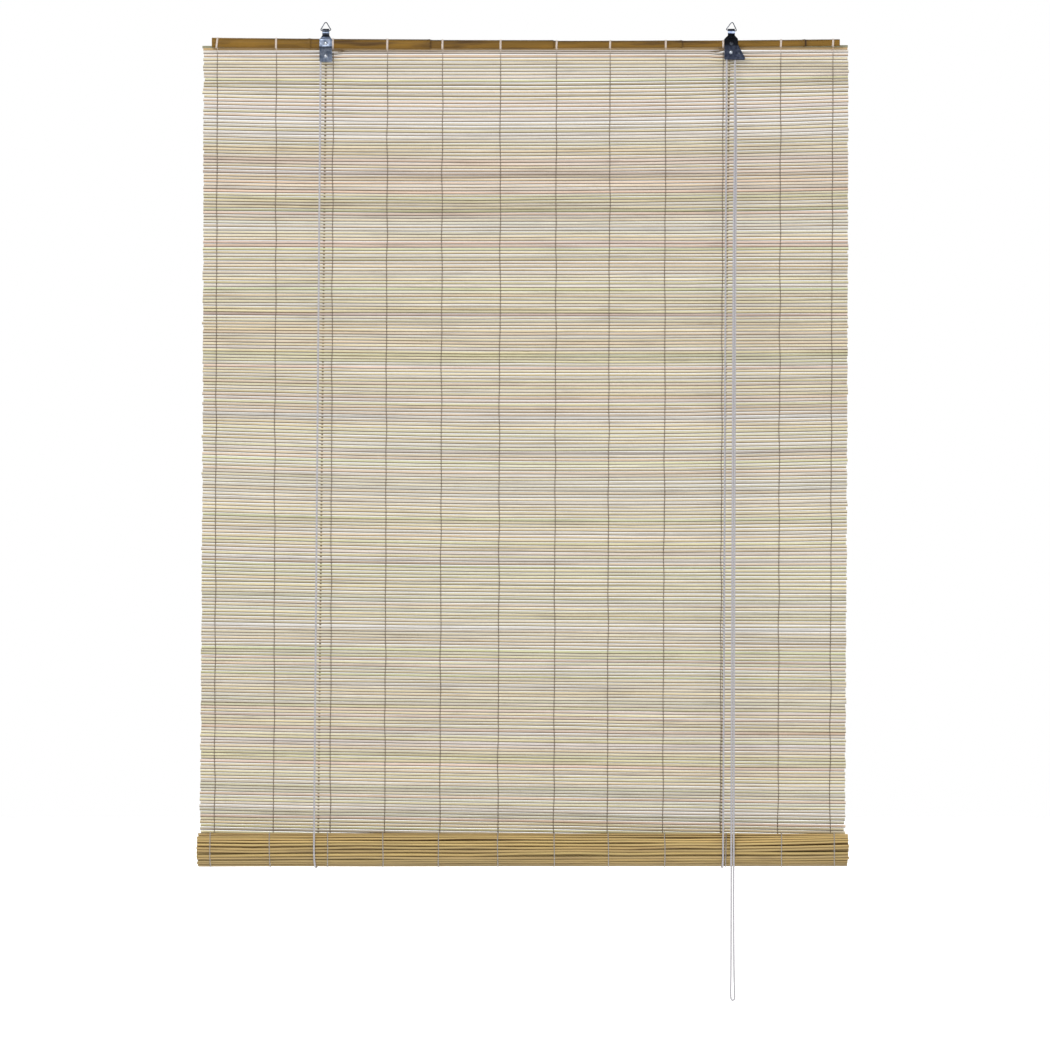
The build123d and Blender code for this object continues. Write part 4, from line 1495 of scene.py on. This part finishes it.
class BLIND_OT_stage(bpy.types.Operator):
    """Set the pale floor, the white surroundings, the soft lights and the camera"""

    bl_idname = "blind.stage"
    bl_label = "Stage"

    def execute(self, context):
        settings = context.scene.blind_stage
        deselect()
        bpy.ops.mesh.primitive_plane_add(size=30.0, location=(0, 0, settings.floor_z))
        floor = bpy.context.object
        floor.name = "floor"
        floor.data.materials.append(floor_material())
        self.surroundings(context, settings)
        middle = (0, 0, -0.6)
        self.light("key_light", (-1.3, -2.9, 1.5), middle, 2.0, settings.key)
        self.light("fill_light", (1.9, -3.0, 0.2), middle, 2.0, settings.key * 0.35)
        self.light("floor_light", (0, 8.0, 2.5), (0, 8.0, settings.floor_z), 12.0, settings.floor_light)
        self.camera(context, settings)
        return {"FINISHED"}

    def surroundings(self, context, settings):
        """White light from all round, weaker on the camera's side."""
        world = bpy.data.worlds.new("white_surroundings")
        world.use_nodes = True
        tree = world.node_tree
        background = tree.nodes["Background"]
        background.inputs["Color"].default_value = (1, 1, 1, 1)
        direction = add_node(tree, "ShaderNodeTexCoord")
        axes = add_node(tree, "ShaderNodeSeparateXYZ", {"Vector": direction.outputs["Generated"]})
        share = add_node(tree, "ShaderNodeMapRange", {"Value": axes.outputs["Y"]})
        limits = {"From Min": 0.0, "From Max": 0.7, "To Min": settings.room, "To Max": settings.backdrop}
        for key, value in limits.items():
            share.inputs[key].default_value = value
        tree.links.new(share.outputs[0], background.inputs["Strength"])
        context.scene.world = world
        context.scene.view_settings.view_transform = "Standard"

    def light(self, name, location, target, size, power):
        """Soft square light turned to a point."""
        bpy.ops.object.light_add(type="AREA", location=location)
        light = bpy.context.object
        light.name = name
        light.data.size = size
        light.data.energy = power
        aim = Vector(target) - light.location
        light.rotation_euler = aim.to_track_quat("-Z", "Y").to_euler()

    def camera(self, context, settings):
        """Straight-on camera with a long lens."""
        place_y = MAT_Y - settings.camera_distance
        bpy.ops.object.camera_add(
            location=(settings.camera_x, place_y, settings.camera_z), rotation=(math.pi / 2, 0, 0)
        )
        camera = bpy.context.object
        camera.data.sensor_width = 36.0
        camera.data.lens = camera.data.sensor_width * settings.camera_distance / settings.view_width
        context.scene.camera = camera


# ---------------------------------------------------------------- panel and registration

class BLIND_PT_panel(bpy.types.Panel):
    """Lists the blind's pieces and their settings"""

    bl_idname = "BLIND_PT_panel"
    bl_label = "Bamboo Blind"
    bl_space_type = "VIEW_3D"
    bl_region_type = "UI"
    bl_category = "Blind"

    def draw(self, context):
        for group in SETTINGS:
            column = self.layout.column(align=True)
            values = getattr(context.scene, group)
            for name in values.bl_rna.properties.keys():
                if name not in ("rna_type", "name"):
                    column.prop(values, name)
        for operator in OPERATORS:
            self.layout.operator(operator.bl_idname)


SETTINGS = {
    "blind_mat": BlindMatSettings,
    "blind_header": BlindHeaderSettings,
    "blind_cord": BlindCordSettings,
    "blind_stage": BlindStageSettings,
}
OPERATORS = (
    BLIND_OT_stage,
    BLIND_OT_pull_cord,
    BLIND_OT_lift_cords,
    BLIND_OT_mat,
    BLIND_OT_roll,
    BLIND_OT_threads,
    BLIND_OT_cane,
    BLIND_OT_loops,
    BLIND_OT_hardware,
    BLIND_OT_batten,
)


def register():
    """Register the settings, the operators and the panel."""
    for name, group in SETTINGS.items():
        bpy.utils.register_class(group)
        setattr(bpy.types.Scene, name, PointerProperty(type=group))
    for operator in OPERATORS:
        bpy.utils.register_class(operator)
    bpy.utils.register_class(BLIND_PT_panel)


def unregister():
    """Take everything back out."""
    bpy.utils.unregister_class(BLIND_PT_panel)
    for operator in reversed(OPERATORS):
        bpy.utils.unregister_class(operator)
    for name, group in reversed(SETTINGS.items()):
        delattr(bpy.types.Scene, name)
        bpy.utils.unregister_class(group)


def main():
    """Model the whole blind."""
    register()
    make_fibre_group()
    make_twist_group()
    make_tarnish_group()
    bpy.ops.blind.stage()
    bpy.ops.blind.lift_cords()
    bpy.ops.blind.pull_cord()
    bpy.ops.blind.mat()
    bpy.ops.blind.roll()
    bpy.ops.blind.threads()
    bpy.ops.blind.cane()
    bpy.ops.blind.loops()
    bpy.ops.blind.hardware()
    bpy.ops.blind.batten()
    bpy.context.view_layer.update()


if __name__ == "__main__":
    main()
